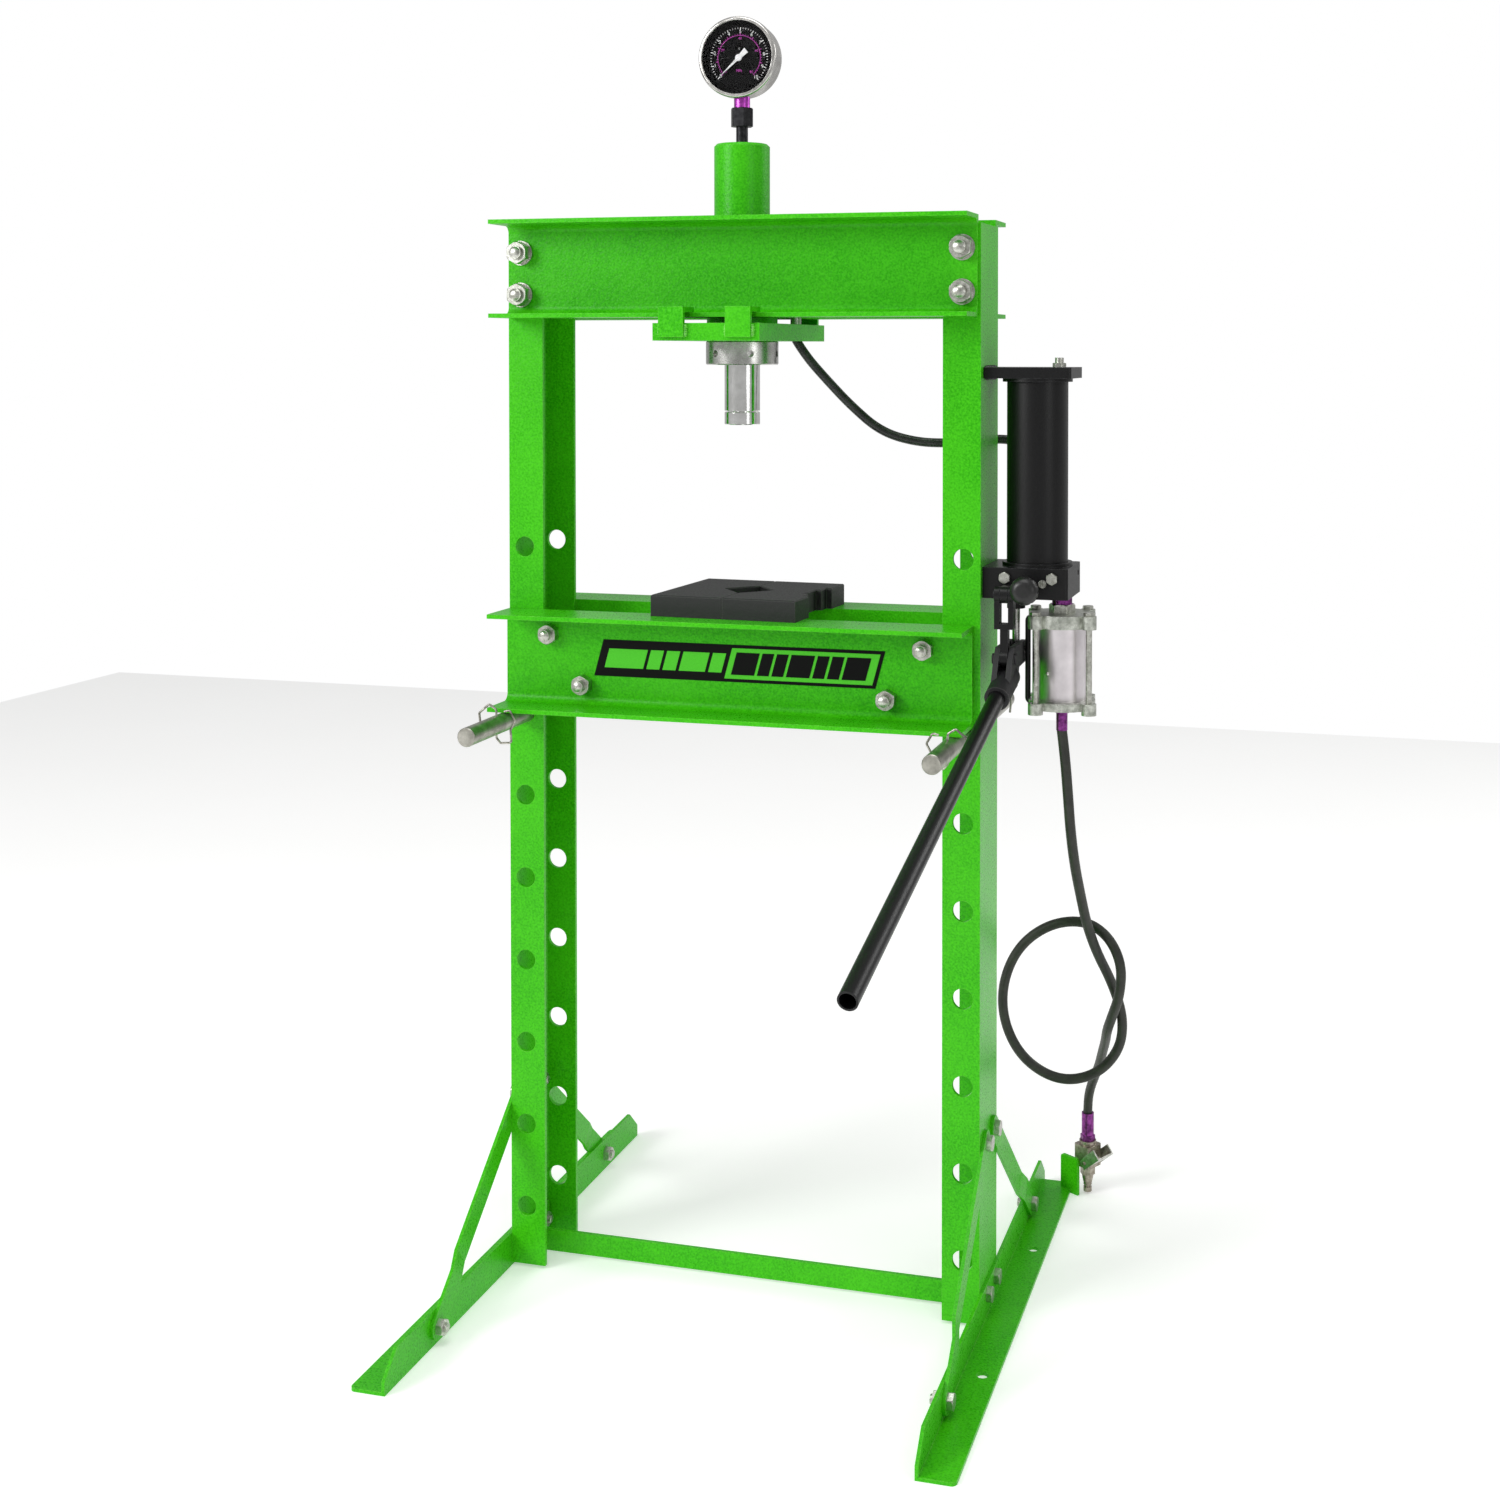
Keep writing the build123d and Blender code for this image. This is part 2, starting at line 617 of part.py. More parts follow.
def gauge():
    z = tube_top
    pipe = rod(pipe_dia, (ram_x, 0, z), (ram_x, 0, z + pipe_height))
    pipe += chamfered_hexagon(bush_flats, (ram_x, 0, z + pipe_height), (ram_x, 0, z + pipe_height + bush_height))
    stem_low = z + pipe_height + bush_height
    bore = rod(5, (ram_x, 0, z - 1), (ram_x, 0, stem_low + 1))
    nodes["gauge_pipe"] = pipe - bore
    centre = stem_low + stem_height + gauge_radius
    front = -gauge_depth / 2
    back = gauge_depth / 2
    hub = (ram_x, centre)
    stem = rod(stem_dia, (ram_x, 0, stem_low), (ram_x, 0, centre - gauge_radius + 4))
    shell = rod(2 * gauge_radius, (hub[0], front, centre), (hub[0], back, centre))
    stem -= rod(2 * gauge_radius, (hub[0], front, centre), (hub[0], back, centre))
    shell = fillet(shell.edges().filter_by(GeomType.CIRCLE).sort_by(Axis.Y)[-1], 5)
    shell -= rod(2 * (gauge_radius - gauge_wall), (hub[0], front - 1, centre), (hub[0], back - gauge_wall, centre))
    nodes["gauge_stem"] = stem
    nodes["gauge_case"] = shell
    ring = rod(2 * bezel_radius, (hub[0], front - 5, centre), (hub[0], front + 4, centre))
    ring = fillet(ring.edges().filter_by(GeomType.CIRCLE).sort_by(Axis.Y)[0], 3)
    ring -= rod(2 * gauge_radius, (hub[0], front, centre), (hub[0], front + 5, centre))
    ring -= rod(2 * (dial_radius + 0.4), (hub[0], front - 6, centre), (hub[0], front + 1, centre))
    nodes["gauge_bezel"] = ring
    dial_seat = rod(2 * (gauge_radius - gauge_wall), (hub[0], front + 5, centre), (hub[0], front + 6.5, centre))
    nodes["gauge_dial"] = dial_seat - rod(3.4, (hub[0], front, centre), (hub[0], front + 9, centre))
    nodes["gauge_lens"] = rod(2 * dial_radius, (hub[0], front - 3, centre), (hub[0], front - 1, centre))
    zero = math.radians(222)
    tip = 0.72 * dial_radius
    tail = 0.3 * dial_radius
    flat = Plane(origin=(hub[0], front + 3.2, centre), x_dir=(1, 0, 0), z_dir=(0, -1, 0))
    arm = make_face(Polyline((tip, 0), (4, 1.6), (-tail, 3.6), (-tail, -3.6), (4, -1.6), close=True))
    needle = flat * Rot(0, 0, math.degrees(zero)) * extrude(arm, 0.8)
    needle += rod(8, (hub[0], front + 1.8, centre), (hub[0], front + 3.2, centre))
    needle += rod(3, (hub[0], front + 1.8, centre), (hub[0], front + 12, centre))
    nodes["gauge_needle"] = needle


def pump():
    low = bracket_top - bracket_thick
    y0, y1 = pump_y - bracket_span / 2, pump_y + bracket_span / 2
    bracket = box(web, web + bracket_reach, y0, y1, low, bracket_top)
    bracket = fillet(bracket.edges().filter_by(Axis.Z).group_by(Axis.X)[-1], 4)
    bracket += rod(boss_dia, (tank_x, pump_y, low - boss_height), (tank_x, pump_y, low))
    filler = (web + 0.8 * bracket_reach, pump_y)
    bracket -= rod(9, (*filler, low - boss_height - 1), (*filler, bracket_top + 1))
    nodes["pump_bracket"] = bracket
    screw = chamfered_hexagon(14, (*filler, bracket_top), (*filler, bracket_top + 5))
    screw += rod(10, (*filler, bracket_top + 5), (*filler, bracket_top + 11))
    screw += rod(9, (*filler, low), (*filler, bracket_top))
    nodes["filler_screw"] = screw
    tank = rod(tank_dia, (tank_x, pump_y, block_top + boss_height), (tank_x, pump_y, low - boss_height))
    tank -= rod(tank_dia - 2 * tank_wall, (tank_x, pump_y, block_top), (tank_x, pump_y, low))
    nodes["reservoir_tube"] = tank
    front = pump_y - block_span / 2
    block = box(web, web + block_reach, front, pump_y + block_span / 2, block_bottom, block_top)
    block = chamfer(block.edges().filter_by(Axis.Z).group_by(Axis.X)[-1], 2)
    block -= rod(7, (web + block_reach - 8, pump_y + 29, block_top - 11), (web + block_reach + 1, pump_y + 29, block_top - 11))
    block += rod(boss_dia, (tank_x, pump_y, block_top), (tank_x, pump_y, block_top + boss_height))
    block += rod(plunger_dia + 12, (lever_x, plunger_y, block_bottom - plunger_gland_drop),
                 (lever_x, plunger_y, block_bottom))
    lug_y = -fulcrum_forward
    lug = box(lever_x - eye_wall / 2, lever_x + eye_wall / 2, lug_y, front, link_top_height - eye_radius,
              link_top_height + eye_radius)
    lug += rod(2 * eye_radius, (lever_x - eye_wall / 2, lug_y, link_top_height),
               (lever_x + eye_wall / 2, lug_y, link_top_height))
    block += lug
    block -= rod(pivot_dia, (lever_x - 20, lug_y, link_top_height), (lever_x + 20, lug_y, link_top_height))
    block -= rod(plunger_dia + 0.2, (lever_x, plunger_y, block_bottom - plunger_gland_drop - 1),
                 (lever_x, plunger_y, block_top - 2))
    block -= rod(piston_rod_dia() + 0.2, (motor_x, motor_y, block_bottom - 1), (motor_x, motor_y, block_top - 1.5))
    stem_x = web + knob_out
    block -= rod(9.2, (stem_x, front - 1, knob_height), (stem_x, front + 12, knob_height))
    heads = []
    for x, z in ((lever_x - 4, block_top - 11), (motor_x - 4, block_top - 11)):
        block -= rod(8, (x, front - 1, z), (x, front + 14, z))
        heads.append(chamfered_hexagon(12, (x, front, z), (x, front - 5.5, z))
                     + rod(8, (x, front, z), (x, front + 12, z)))
    x, z = stem_x + 14, knob_height + 4
    block -= rod(5, (x, front - 1, z), (x, front + 10, z))
    pan = rod(9, (x, front, z), (x, front - 3, z)) + rod(5, (x, front, z), (x, front + 8, z))
    cross = box(x - 3, x + 3, front - 4, front - 1.6, z - 0.6, z + 0.6)
    cross += box(x - 0.6, x + 0.6, front - 4, front - 1.6, z - 3, z + 3)
    heads.append(pan - cross)
    nodes["pump_block"] = block
    nodes["block_screws"] = group(heads)
    knob_back = front - knob_forward
    knob = rod(knob_dia, (stem_x, knob_back - knob_thick, knob_height), (stem_x, knob_back, knob_height))
    rims = knob.edges().filter_by(GeomType.CIRCLE).sort_by(Axis.Y)
    knob = fillet(rims[0], 10)
    knob = fillet(knob.edges().filter_by(GeomType.CIRCLE).sort_by(Axis.Y)[-1], 4)
    for i in range(12):
        a = math.radians(30 * i)
        x, z = stem_x + math.cos(a) * knob_dia * 0.55, knob_height + math.sin(a) * knob_dia * 0.55
        knob -= rod(5, (x, knob_back - knob_thick - 1, z), (x, knob_back + 1, z))
    knob += rod(9, (stem_x, knob_back, knob_height), (stem_x, front + 10, knob_height))
    nodes["release_knob"] = knob


def piston_rod_dia():
    return 8.0


def lever():
    y = -fulcrum_forward
    inner = eye_wall / 2 + side_gap
    fork_low = link_top_height - 32
    pivot = rod(pivot_dia, (lever_x - inner - cheek_wall - 2, y, link_top_height),
                (lever_x + inner + cheek_wall + 2, y, link_top_height))
    link = box(lever_x - eye_wall / 2, lever_x + eye_wall / 2, y - 5, y + 5, fulcrum_height, fork_low)
    link += rod(2 * eye_radius, (lever_x - eye_wall / 2, y, fulcrum_height),
                (lever_x + eye_wall / 2, y, fulcrum_height))
    link += box(lever_x - inner - cheek_wall, lever_x + inner + cheek_wall, y - 7, y + 7, fork_low - 6, fork_low)
    for s in (-1, 1):
        x0, x1 = sorted((lever_x + s * inner, lever_x + s * (inner + cheek_wall)))
        link += box(x0, x1, y - 7, y + 7, fork_low, link_top_height)
        link += rod(2 * eye_radius, (x0, y, link_top_height), (x1, y, link_top_height))
    link += pivot
    link -= rod(pivot_dia, (lever_x - 20, y, fulcrum_height), (lever_x + 20, y, fulcrum_height))
    nodes["fulcrum_link"] = link
    top = block_top - 20
    tongue = eye_wall
    plunger = rod(plunger_dia, (lever_x, plunger_y, fulcrum_height), (lever_x, plunger_y, top))
    plunger += rod(2 * eye_radius - 3, (lever_x - tongue / 2, plunger_y, fulcrum_height),
                   (lever_x + tongue / 2, plunger_y, fulcrum_height))
    reach = inner + cheek_wall + 2.5
    plunger += rod(pivot_dia, (lever_x - reach, plunger_y, fulcrum_height),
                   (lever_x + reach, plunger_y, fulcrum_height))
    nodes["pump_plunger"] = plunger
    arm = plunger_y + fulcrum_forward
    slot_length = 16.0
    slot_height = pivot_dia + 3.5
    casting = None
    down = math.radians(handle_drop_deg)
    yaw = math.radians(handle_yaw_deg)
    direction = Vector(-math.sin(yaw) * math.cos(down), -math.cos(yaw) * math.cos(down), -math.sin(down))
    root = Vector(lever_x + 1, y + 14, fulcrum_height - socket_below + 4)
    mouth = root + direction * socket_length
    side_view = make_face(Polyline(
        (-12, -2), (0, 13), (arm + 6, 12), (arm + 15, 4), (arm + 15, -6), (arm + 4, -12),
        (30, -13), (20, -33), (-18, -38), (-24, -22), close=True))
    side_view -= Pos(arm + 2.2, 0) * SlotOverall(slot_length + 2, slot_height)
    side_view -= Circle(pivot_dia / 2 + pivot_play)
    for s in (-1, 1):
        start = lever_x + s * inner
        plane = Plane(origin=(start, y, fulcrum_height), x_dir=(0, 1, 0), z_dir=(1, 0, 0))
        cheek = plane * extrude(side_view, s * cheek_wall)
        casting = cheek if casting is None else casting + cheek
    barrel = rod(socket_dia, tuple(root), tuple(mouth))
    keep_out = rod(2 * eye_radius + 3, (lever_x - inner, y, fulcrum_height), (lever_x + inner, y, fulcrum_height))
    casting += barrel - keep_out
    bore_start = mouth - direction * handle_seat
    casting -= rod(handle_dia + 0.4, tuple(bore_start), tuple(mouth + direction))
    pin_reach = inner + cheek_wall + 2
    casting += rod(pivot_dia - 2 * pivot_play, (lever_x - pin_reach, y, fulcrum_height),
                   (lever_x + pin_reach, y, fulcrum_height))
    for s in (-1, 1):
        x0 = lever_x + s * (inner + cheek_wall)
        x1 = lever_x + s * (inner + cheek_wall + 3)
        casting += rod(pivot_dia + 4, (x0, y, fulcrum_height), (x1, y, fulcrum_height))
    nodes["lever_socket"] = casting
    end = bore_start + direction * handle_length
    tube = rod(handle_dia, tuple(bore_start), tuple(end))
    nodes["pump_handle"] = tube - rod(handle_dia - 2 * handle_wall, tuple(bore_start - direction),
                                      tuple(end + direction))


def air_motor():
    nut_top = block_bottom - nipple_height
    cap_high = nut_top - nut_height
    barrel_high = cap_high - cap_top_thick
    barrel_low = barrel_high - barrel_height
    axis = lambda z: (motor_x, motor_y, z)
    nipple = rod(nipple_dia, axis(nut_top), axis(block_bottom))
    nipple += chamfered_hexagon(nut_flats, axis(cap_high), axis(nut_top))
    nodes["motor_nipple"] = nipple - rod(piston_rod_dia() + 1, axis(cap_high - 1), axis(block_bottom + 1))
    reach = cap_span / math.sqrt(2)
    spots = [(motor_x + reach * math.cos(math.radians(a + cap_turn)), motor_y + reach * math.sin(math.radians(a + cap_turn)))
             for a in (225, 135, 315, 45)]
    caps = []
    for low, high, lug_low in ((barrel_high, cap_high, barrel_high), (barrel_low - cap_low_thick, barrel_low,
                                                                   barrel_low - cap_low_thick - 4)):
        cap = rod(cap_dia, axis(low), axis(high))
        for x, y in spots:
            cap += rod(lug_dia, (x, y, lug_low), (x, y, high))
        for x, y in spots:
            cap -= rod(rod_tie_dia + 0.4, (x, y, lug_low - 1), (x, y, high + 1))
        cap -= rod(piston_rod_dia() + 0.8, axis(low - 1), axis(high + 1))
        caps.append(cap)
    nodes["motor_end_caps"] = group(caps)
    barrel = rod(barrel_dia, axis(barrel_low), axis(barrel_high))
    bore = barrel_dia - 2 * barrel_wall
    nodes["motor_barrel"] = barrel - rod(bore, axis(barrel_low - 1), axis(barrel_high + 1))
    ties = []
    for x, y in spots:
        tie_low = barrel_low - cap_low_thick - 4
        tie = rod(rod_tie_dia, (x, y, tie_low), (x, y, cap_high))
        tie += chamfered_hexagon(rod_tie_dia * 1.6, (x, y, cap_high), (x, y, cap_high + 4))
        ties.append(tie)
    nodes["motor_tie_rods"] = group(ties)
    piston = rod(bore - 0.2, axis(barrel_low + 3), axis(barrel_low + 15))
    piston += rod(piston_rod_dia(), axis(barrel_low + 15), axis(block_bottom - 4))
    nodes["motor_piston"] = piston
    return barrel_low - cap_low_thick


def ferrule(x, y, low, high, hex_high, dia):
    """A crimped hose ferrule on a hexagon; hex_high says which end the hexagon is."""
    body = rod(dia, (x, y, low), (x, y, high))
    hex_at = (high - 7, high) if hex_high else (low, low + 7)
    body += hexagon(dia + 1, (x, y, hex_at[0]), (x, y, hex_at[1]))
    return body


def valve():
    """A foot-height air valve behind the tab: body, inlet nipple below, outlet boss above."""
    top = valve_bottom + valve_height
    middle = valve_middle()
    x, y = valve_frame(*middle)
    left = middle[0] - valve_width / 2
    body = valve_box(left, left + valve_width, 0, valve_width, valve_bottom, top)
    body = chamfer(body.edges().filter_by(Axis.Z), 2)
    body += rod(valve_boss_dia, (x, y, top), (x, y, top + valve_boss_height))
    body += hexagon(17, (x, y, valve_bottom - 12), (x, y, valve_bottom))
    cone = Pos(x, y, valve_bottom - 17) * Cone(6, 8, 10)
    body += cone
    body += rod(11, (x, y, 3), (x, y, valve_bottom - 22))
    body -= rod(14, (x, y, 9), (x, y, 12)) - rod(8, (x, y, 8), (x, y, 13))
    pivot = (left + 5, valve_bottom + 7)
    reach = lever_wall + 2
    px0, py0 = valve_frame(pivot[0] + valve_width * 0.55, -reach)
    px1, py1 = valve_frame(pivot[0] + valve_width * 0.55, valve_width + reach)
    body += rod(4, (px0, py0, pivot[1]), (px1, py1, pivot[1]))
    nodes["air_valve"] = body
    bent = Polyline((0, -7), (26, -7), (26, 7), (9, 7), (-5, 5), (-5, -7), close=True)
    turn = math.radians(valve_turn)
    u_dir = (math.cos(turn), math.sin(turn), 0)
    v_dir = (-math.sin(turn), math.cos(turn), 0)
    rise = Rot(0, 0, lever_rise_deg)
    gap = 0.4
    plate = None
    for start, depth in ((-lever_wall - gap, lever_wall), (valve_width + gap, lever_wall)):
        origin = valve_frame(pivot[0] + valve_width * 0.55, start)
        plane = Plane(origin=(*origin, pivot[1]), x_dir=u_dir, z_dir=(-v_dir[0], -v_dir[1], 0))
        cheek = plane * rise * extrude(make_face(bent), -depth)
        plate = cheek if plate is None else plate + cheek
    origin = valve_frame(pivot[0] + valve_width * 0.55, -lever_wall - gap)
    plane = Plane(origin=(*origin, pivot[1]), x_dir=u_dir, z_dir=(-v_dir[0], -v_dir[1], 0))
    sole = Polyline((10, -7), (26, -7), (26, -7 + lever_wall), (10, -7 + lever_wall), close=True)
    plate += plane * rise * extrude(make_face(sole), -(valve_width + 2 * gap + 2 * lever_wall))
    shaft = rod(4.2, (px0, py0, pivot[1]), (px1, py1, pivot[1]))
    nodes["valve_lever"] = plate - shaft
    return top + valve_boss_height


def valve_middle():
    return (tab_width + 3, valve_width / 2)


def hose_end_place():
    return valve_frame(*valve_middle())


def hose_radii(points):
    """Each corner's radius: 0.45 of the shorter run over the tangent of half the turn."""
    radii = []
    for a, b, c in zip(points, points[1:], points[2:]):
        p, q = Vector(*b) - Vector(*a), Vector(*c) - Vector(*b)
        turn = math.radians(p.get_angle(q))
        radii.append(0.45 * min(p.length, q.length) / math.tan(turn / 2))
    return radii


def hose(points, dia, label):
    radii = hose_radii(points)
    path = FilletPolyline(*points, radius=radii)
    section = Plane(origin=path @ 0, z_dir=path % 0) * Circle(dia / 2)
    body = sweep(section, path=path)
    expected = math.pi * dia * dia / 4 * path.length
    print(label, "length", round(path.length, 1), "least radius", round(min(radii), 1),
          "volume ratio", round(body.volume / expected, 4))
    print("  radii", [round(r) for r in radii])
    return body


def hoses(motor_low, valve_top):
    motor_end = motor_low - ferrule_height
    hx, hy = hose_end_place()
    upper = ferrule(motor_x, motor_y, motor_end, motor_low, True, ferrule_dia)
    upper -= rod(5, (motor_x, motor_y, motor_end - 1), (motor_x, motor_y, motor_low + 1))
    lower_top = valve_top + valve_ferrule_height
    lower = ferrule(hx, hy, valve_top, lower_top, False, valve_ferrule_dia)
    nodes["hose_ferrules"] = group([upper, lower])
    px, py = port_place()
    elbow_z = carrier_top + 26
    reach = math.hypot(px - ram_x, py)
    unit = ((px - ram_x) / reach, py / reach)
    seat = tube_dia / 2 - 0.5
    elbow = rod(12, (ram_x + unit[0] * seat, unit[1] * seat, elbow_z), (px, py, elbow_z))
    elbow -= rod(tube_dia, (ram_x, 0, carrier_low), (ram_x, 0, tube_top))
    elbow += Pos(px, py, elbow_z) * Sphere(6.8)
    hose_start = carrier_low + 2
    elbow += rod(ferrule_dia, (px, py, hose_start), (px, py, elbow_z))
    rear = pump_y + block_span / 2
    out = (tank_x, rear, block_bottom + 18)
    bend = (tank_x, rear + 16, block_bottom + 18)
    hose_low = bend[2] + 27
    fitting = hexagon(14, out, (out[0], rear + 7, out[2])) + rod(12, out, bend) + Pos(*bend) * Sphere(7.5)
    fitting += rod(ferrule_dia, bend, (bend[0], bend[1], hose_low))
    nodes["hydraulic_fittings"] = group([elbow, fitting])
    start = (px, py, hose_start)
    finish = (bend[0], bend[1], hose_low)
    nodes["hydraulic_hose"] = hose([start] + hydraulic_route + [finish], hydraulic_dia, "hydraulic hose")
    start = (motor_x, motor_y, motor_end)
    finish = (hx, hy, lower_top)
    nodes["air_hose"] = hose([start] + air_route + [finish], air_dia, "air hose")


# Hose routes between their fittings, as the hoses hang
hydraulic_route = [
    (55, 43, 1105), (80, 48.5, 1076), (108, 56, 1045), (143, 63, 1014), (184, 68, 1001.5), (226, 73, 1000),
    (262, 82, 1004), (300, 90, 1006), (332, 92, 988), (350, 87, 957), (351, 78, 922), (347, 69, 897),
]
air_route = [
    (377.5, 5.5, 648), (380.5, 8, 606), (382.5, 16, 558), (384.5, 36, 512), (387, 62, 472), (390.5, 84, 433),
    (399, 108, 392), (413, 138, 348), (426, 150, 302), (421, 156, 259), (391, 157, 224), (346, 156, 213),
    (302, 153, 236), (278, 150, 280), (276, 147, 330), (297, 141, 380), (336, 134, 413), (380, 126, 424),
    (412, 113, 412), (430, 105, 381), (427, 109, 342), (415, 127, 309), (405, 155, 282), (398, 192, 256),
    (388, 234, 226), (378, 272, 194), (368, 302, 168), (359, 322, 144), (354.6, 331, 124),
]


def main():
    nodes["left_column"] = column(-1)
    nodes["right_column"] = column(1)
    head()
    base()
    bed()
    pins()
    arbor_plates()
    cylinder()
    ram()
    gauge()
    pump()
    lever()
    motor_low = air_motor()
    valve_top = valve()
    hoses(motor_low, valve_top)
    os.makedirs("parts", exist_ok=True)
    for name, shape in nodes.items():
        export_step(shape, "parts/" + name + ".step")
    print(len(nodes), "nodes")


main()
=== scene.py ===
import math
import bpy
import numpy as np
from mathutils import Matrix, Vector


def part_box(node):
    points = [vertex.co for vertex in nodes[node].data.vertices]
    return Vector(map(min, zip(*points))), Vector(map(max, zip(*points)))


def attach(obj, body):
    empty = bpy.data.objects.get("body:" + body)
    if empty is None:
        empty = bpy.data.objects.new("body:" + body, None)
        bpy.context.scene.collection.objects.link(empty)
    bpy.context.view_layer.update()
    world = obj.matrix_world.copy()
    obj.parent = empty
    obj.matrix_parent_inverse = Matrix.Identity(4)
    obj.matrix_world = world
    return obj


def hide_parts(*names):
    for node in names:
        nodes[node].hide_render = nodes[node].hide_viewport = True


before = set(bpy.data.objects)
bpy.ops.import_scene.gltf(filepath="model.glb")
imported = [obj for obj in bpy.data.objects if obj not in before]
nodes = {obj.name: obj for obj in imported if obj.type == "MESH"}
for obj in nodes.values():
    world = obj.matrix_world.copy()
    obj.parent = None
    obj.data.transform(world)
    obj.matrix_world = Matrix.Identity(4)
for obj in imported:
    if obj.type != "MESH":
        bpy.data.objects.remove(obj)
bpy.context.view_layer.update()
mm = 0.001
print("frame loaded:", len(nodes), "nodes")


def hexColour(code, alpha=1.0):  # sRGB hex to linear RGBA
    parts = [int(code[i:i + 2], 16) / 255 for i in (1, 3, 5)]
    return tuple(c / 12.92 if c <= 0.04045 else ((c + 0.055) / 1.055) ** 2.4 for c in parts) + (alpha,)


def addNode(tree, kind, values=None, links=None, **settings):
    node = tree.nodes.new("ShaderNode" + kind)
    for name, value in settings.items():
        setattr(node, name, value)
    for socket, value in (values or {}).items():
        node.inputs[socket].default_value = value
    for socket, source in (links or {}).items():
        tree.links.new(source, node.inputs[socket])
    return node


def newMaterial(name, shaderValues):
    material = bpy.data.materials.new(name)
    material.use_nodes = True
    tree = material.node_tree
    shader = tree.nodes["Principled BSDF"]
    for socket, value in shaderValues.items():
        shader.inputs[socket].default_value = value
    return material, tree, shader


def perMillimetre(size):  # a texture scale that gives features of that many millimetres
    return 1 / (size * mm)


def objectPoint(tree, stretch=(1, 1, 1)):  # where the shaded point is, in the object's own metres
    place = addNode(tree, "TexCoord")
    return addNode(tree, "Mapping", {"Scale": stretch}, {"Vector": place.outputs["Object"]}).outputs[0]


def noiseOf(tree, point, size, detail=2.0, roughness=0.5):
    values = {"Scale": perMillimetre(size), "Detail": detail, "Roughness": roughness}
    return addNode(tree, "TexNoise", values, {"Vector": point}).outputs["Fac"]


def rangeOf(tree, source, low, high, outLow, outHigh):  # source from low..high to outLow..outHigh
    values = {"From Min": low, "From Max": high, "To Min": outLow, "To Max": outHigh}
    return addNode(tree, "MapRange", values, {"Value": source}).outputs[0]


def blendColours(tree, factor, first, second):  # each of the two is a colour or a socket
    node = addNode(tree, "Mix", data_type="RGBA")
    tree.links.new(factor, node.inputs[0])
    for socket, value in ((6, first), (7, second)):
        if isinstance(value, tuple):
            node.inputs[socket].default_value = value
        else:
            tree.links.new(value, node.inputs[socket])
    return node.outputs[2]


def edgeMask(tree, radius, low, high):  # 1 on sharp outer edges, 0 on flats
    soft = addNode(tree, "Bevel", {"Radius": radius * mm}, samples=4)
    hard = addNode(tree, "NewGeometry")
    across = addNode(tree, "VectorMath", operation="DOT_PRODUCT")
    tree.links.new(soft.outputs[0], across.inputs[0])
    tree.links.new(hard.outputs["Normal"], across.inputs[1])
    return rangeOf(tree, across.outputs["Value"], high, low, 0, 1)


def finishSurface(tree, shader, colour, roughness, height, strength, depth, soften=0.0):
    for socket, source in (("Base Color", colour), ("Roughness", roughness)):
        if source is not None:
            tree.links.new(source, shader.inputs[socket])
    bump = addNode(tree, "Bump", {"Strength": strength, "Distance": depth * mm}, {"Height": height})
    if soften:
        rounded = addNode(tree, "Bevel", {"Radius": soften * mm}, samples=4)
        tree.links.new(rounded.outputs[0], bump.inputs["Normal"])
    tree.links.new(bump.outputs[0], shader.inputs["Normal"])


def powderCoat(name, look):
    # Sprayed and baked powder: an even skin with orange peel and small speckle, and a painted highlight along sharp
    # edges, lighter and broken up by noise
    material, tree, shader = newMaterial(name, {"IOR": 1.5, "Specular IOR Level": look["gloss"]})
    point = objectPoint(tree)
    peel = noiseOf(tree, point, look["peel"], 3)
    speck = noiseOf(tree, point, look["speck"], 2, 0.6)
    cloud = noiseOf(tree, point, 90, 2)
    colour = blendColours(tree, rangeOf(tree, speck, 0.38, 0.66, 0, 1), hexColour(look["dark"]), hexColour(look["base"]))
    colour = blendColours(tree, rangeOf(tree, cloud, 0.35, 0.7, 0, 0.35), colour, hexColour(look["light"]))
    # Sharp edges get a lighter colour, broken up by noise: a painted highlight
    rim = edgeMask(tree, 1.2, 0.86, 0.97)
    broken = rangeOf(tree, noiseOf(tree, point, 7, 4, 0.7), 0.42, 0.62, 0.15, 1)
    edgeHighlightMask = addNode(tree, "Math", operation="MULTIPLY", use_clamp=True)
    tree.links.new(rim, edgeHighlightMask.inputs[0])
    tree.links.new(broken, edgeHighlightMask.inputs[1])
    part = rangeOf(tree, edgeHighlightMask.outputs[0], 0, 1, 0, look["edge"])
    colour = blendColours(tree, part, colour, hexColour(look["edgeHighlightTint"]))
    roughness = rangeOf(tree, speck, 0.3, 0.7, look["rough"] - 0.06, look["rough"] + 0.08)
    finishSurface(tree, shader, colour, roughness, peel, look["bump"], 0.5, 0.7)
    return material


# The edge tint of each look is the colour of its painted highlight along sharp edges
greenLook = {"base": "#44C20F", "dark": "#2FA506", "light": "#52CE1C", "edgeHighlightTint": "#93EA63", "edge": 0.6,
             "peel": 3.2, "speck": 2.4, "rough": 0.3, "gloss": 0.18, "bump": 0.8}
# The weld beads' paint is a lighter green with a lighter speckle: a painted highlight for the sparkle on the beads
weldHighlightLook = {**greenLook, "base": "#6BDA3C", "dark": "#3CB412", "light": "#A6EE80", "gloss": 0.7, "rough": 0.12}
blackLook = {"base": "#0B0B0C", "dark": "#070708", "light": "#111112", "edgeHighlightTint": "#55565A", "edge": 0.5,
             "peel": 1.4, "speck": 1.0, "rough": 0.34, "gloss": 0.3, "bump": 0.25}
greenPaint = powderCoat("powderCoatGreen", greenLook)
weldHighlightPaint = powderCoat("powderCoatOverWeldHighlight", weldHighlightLook)
blackPaint = powderCoat("satinBlackPaint", blackLook)


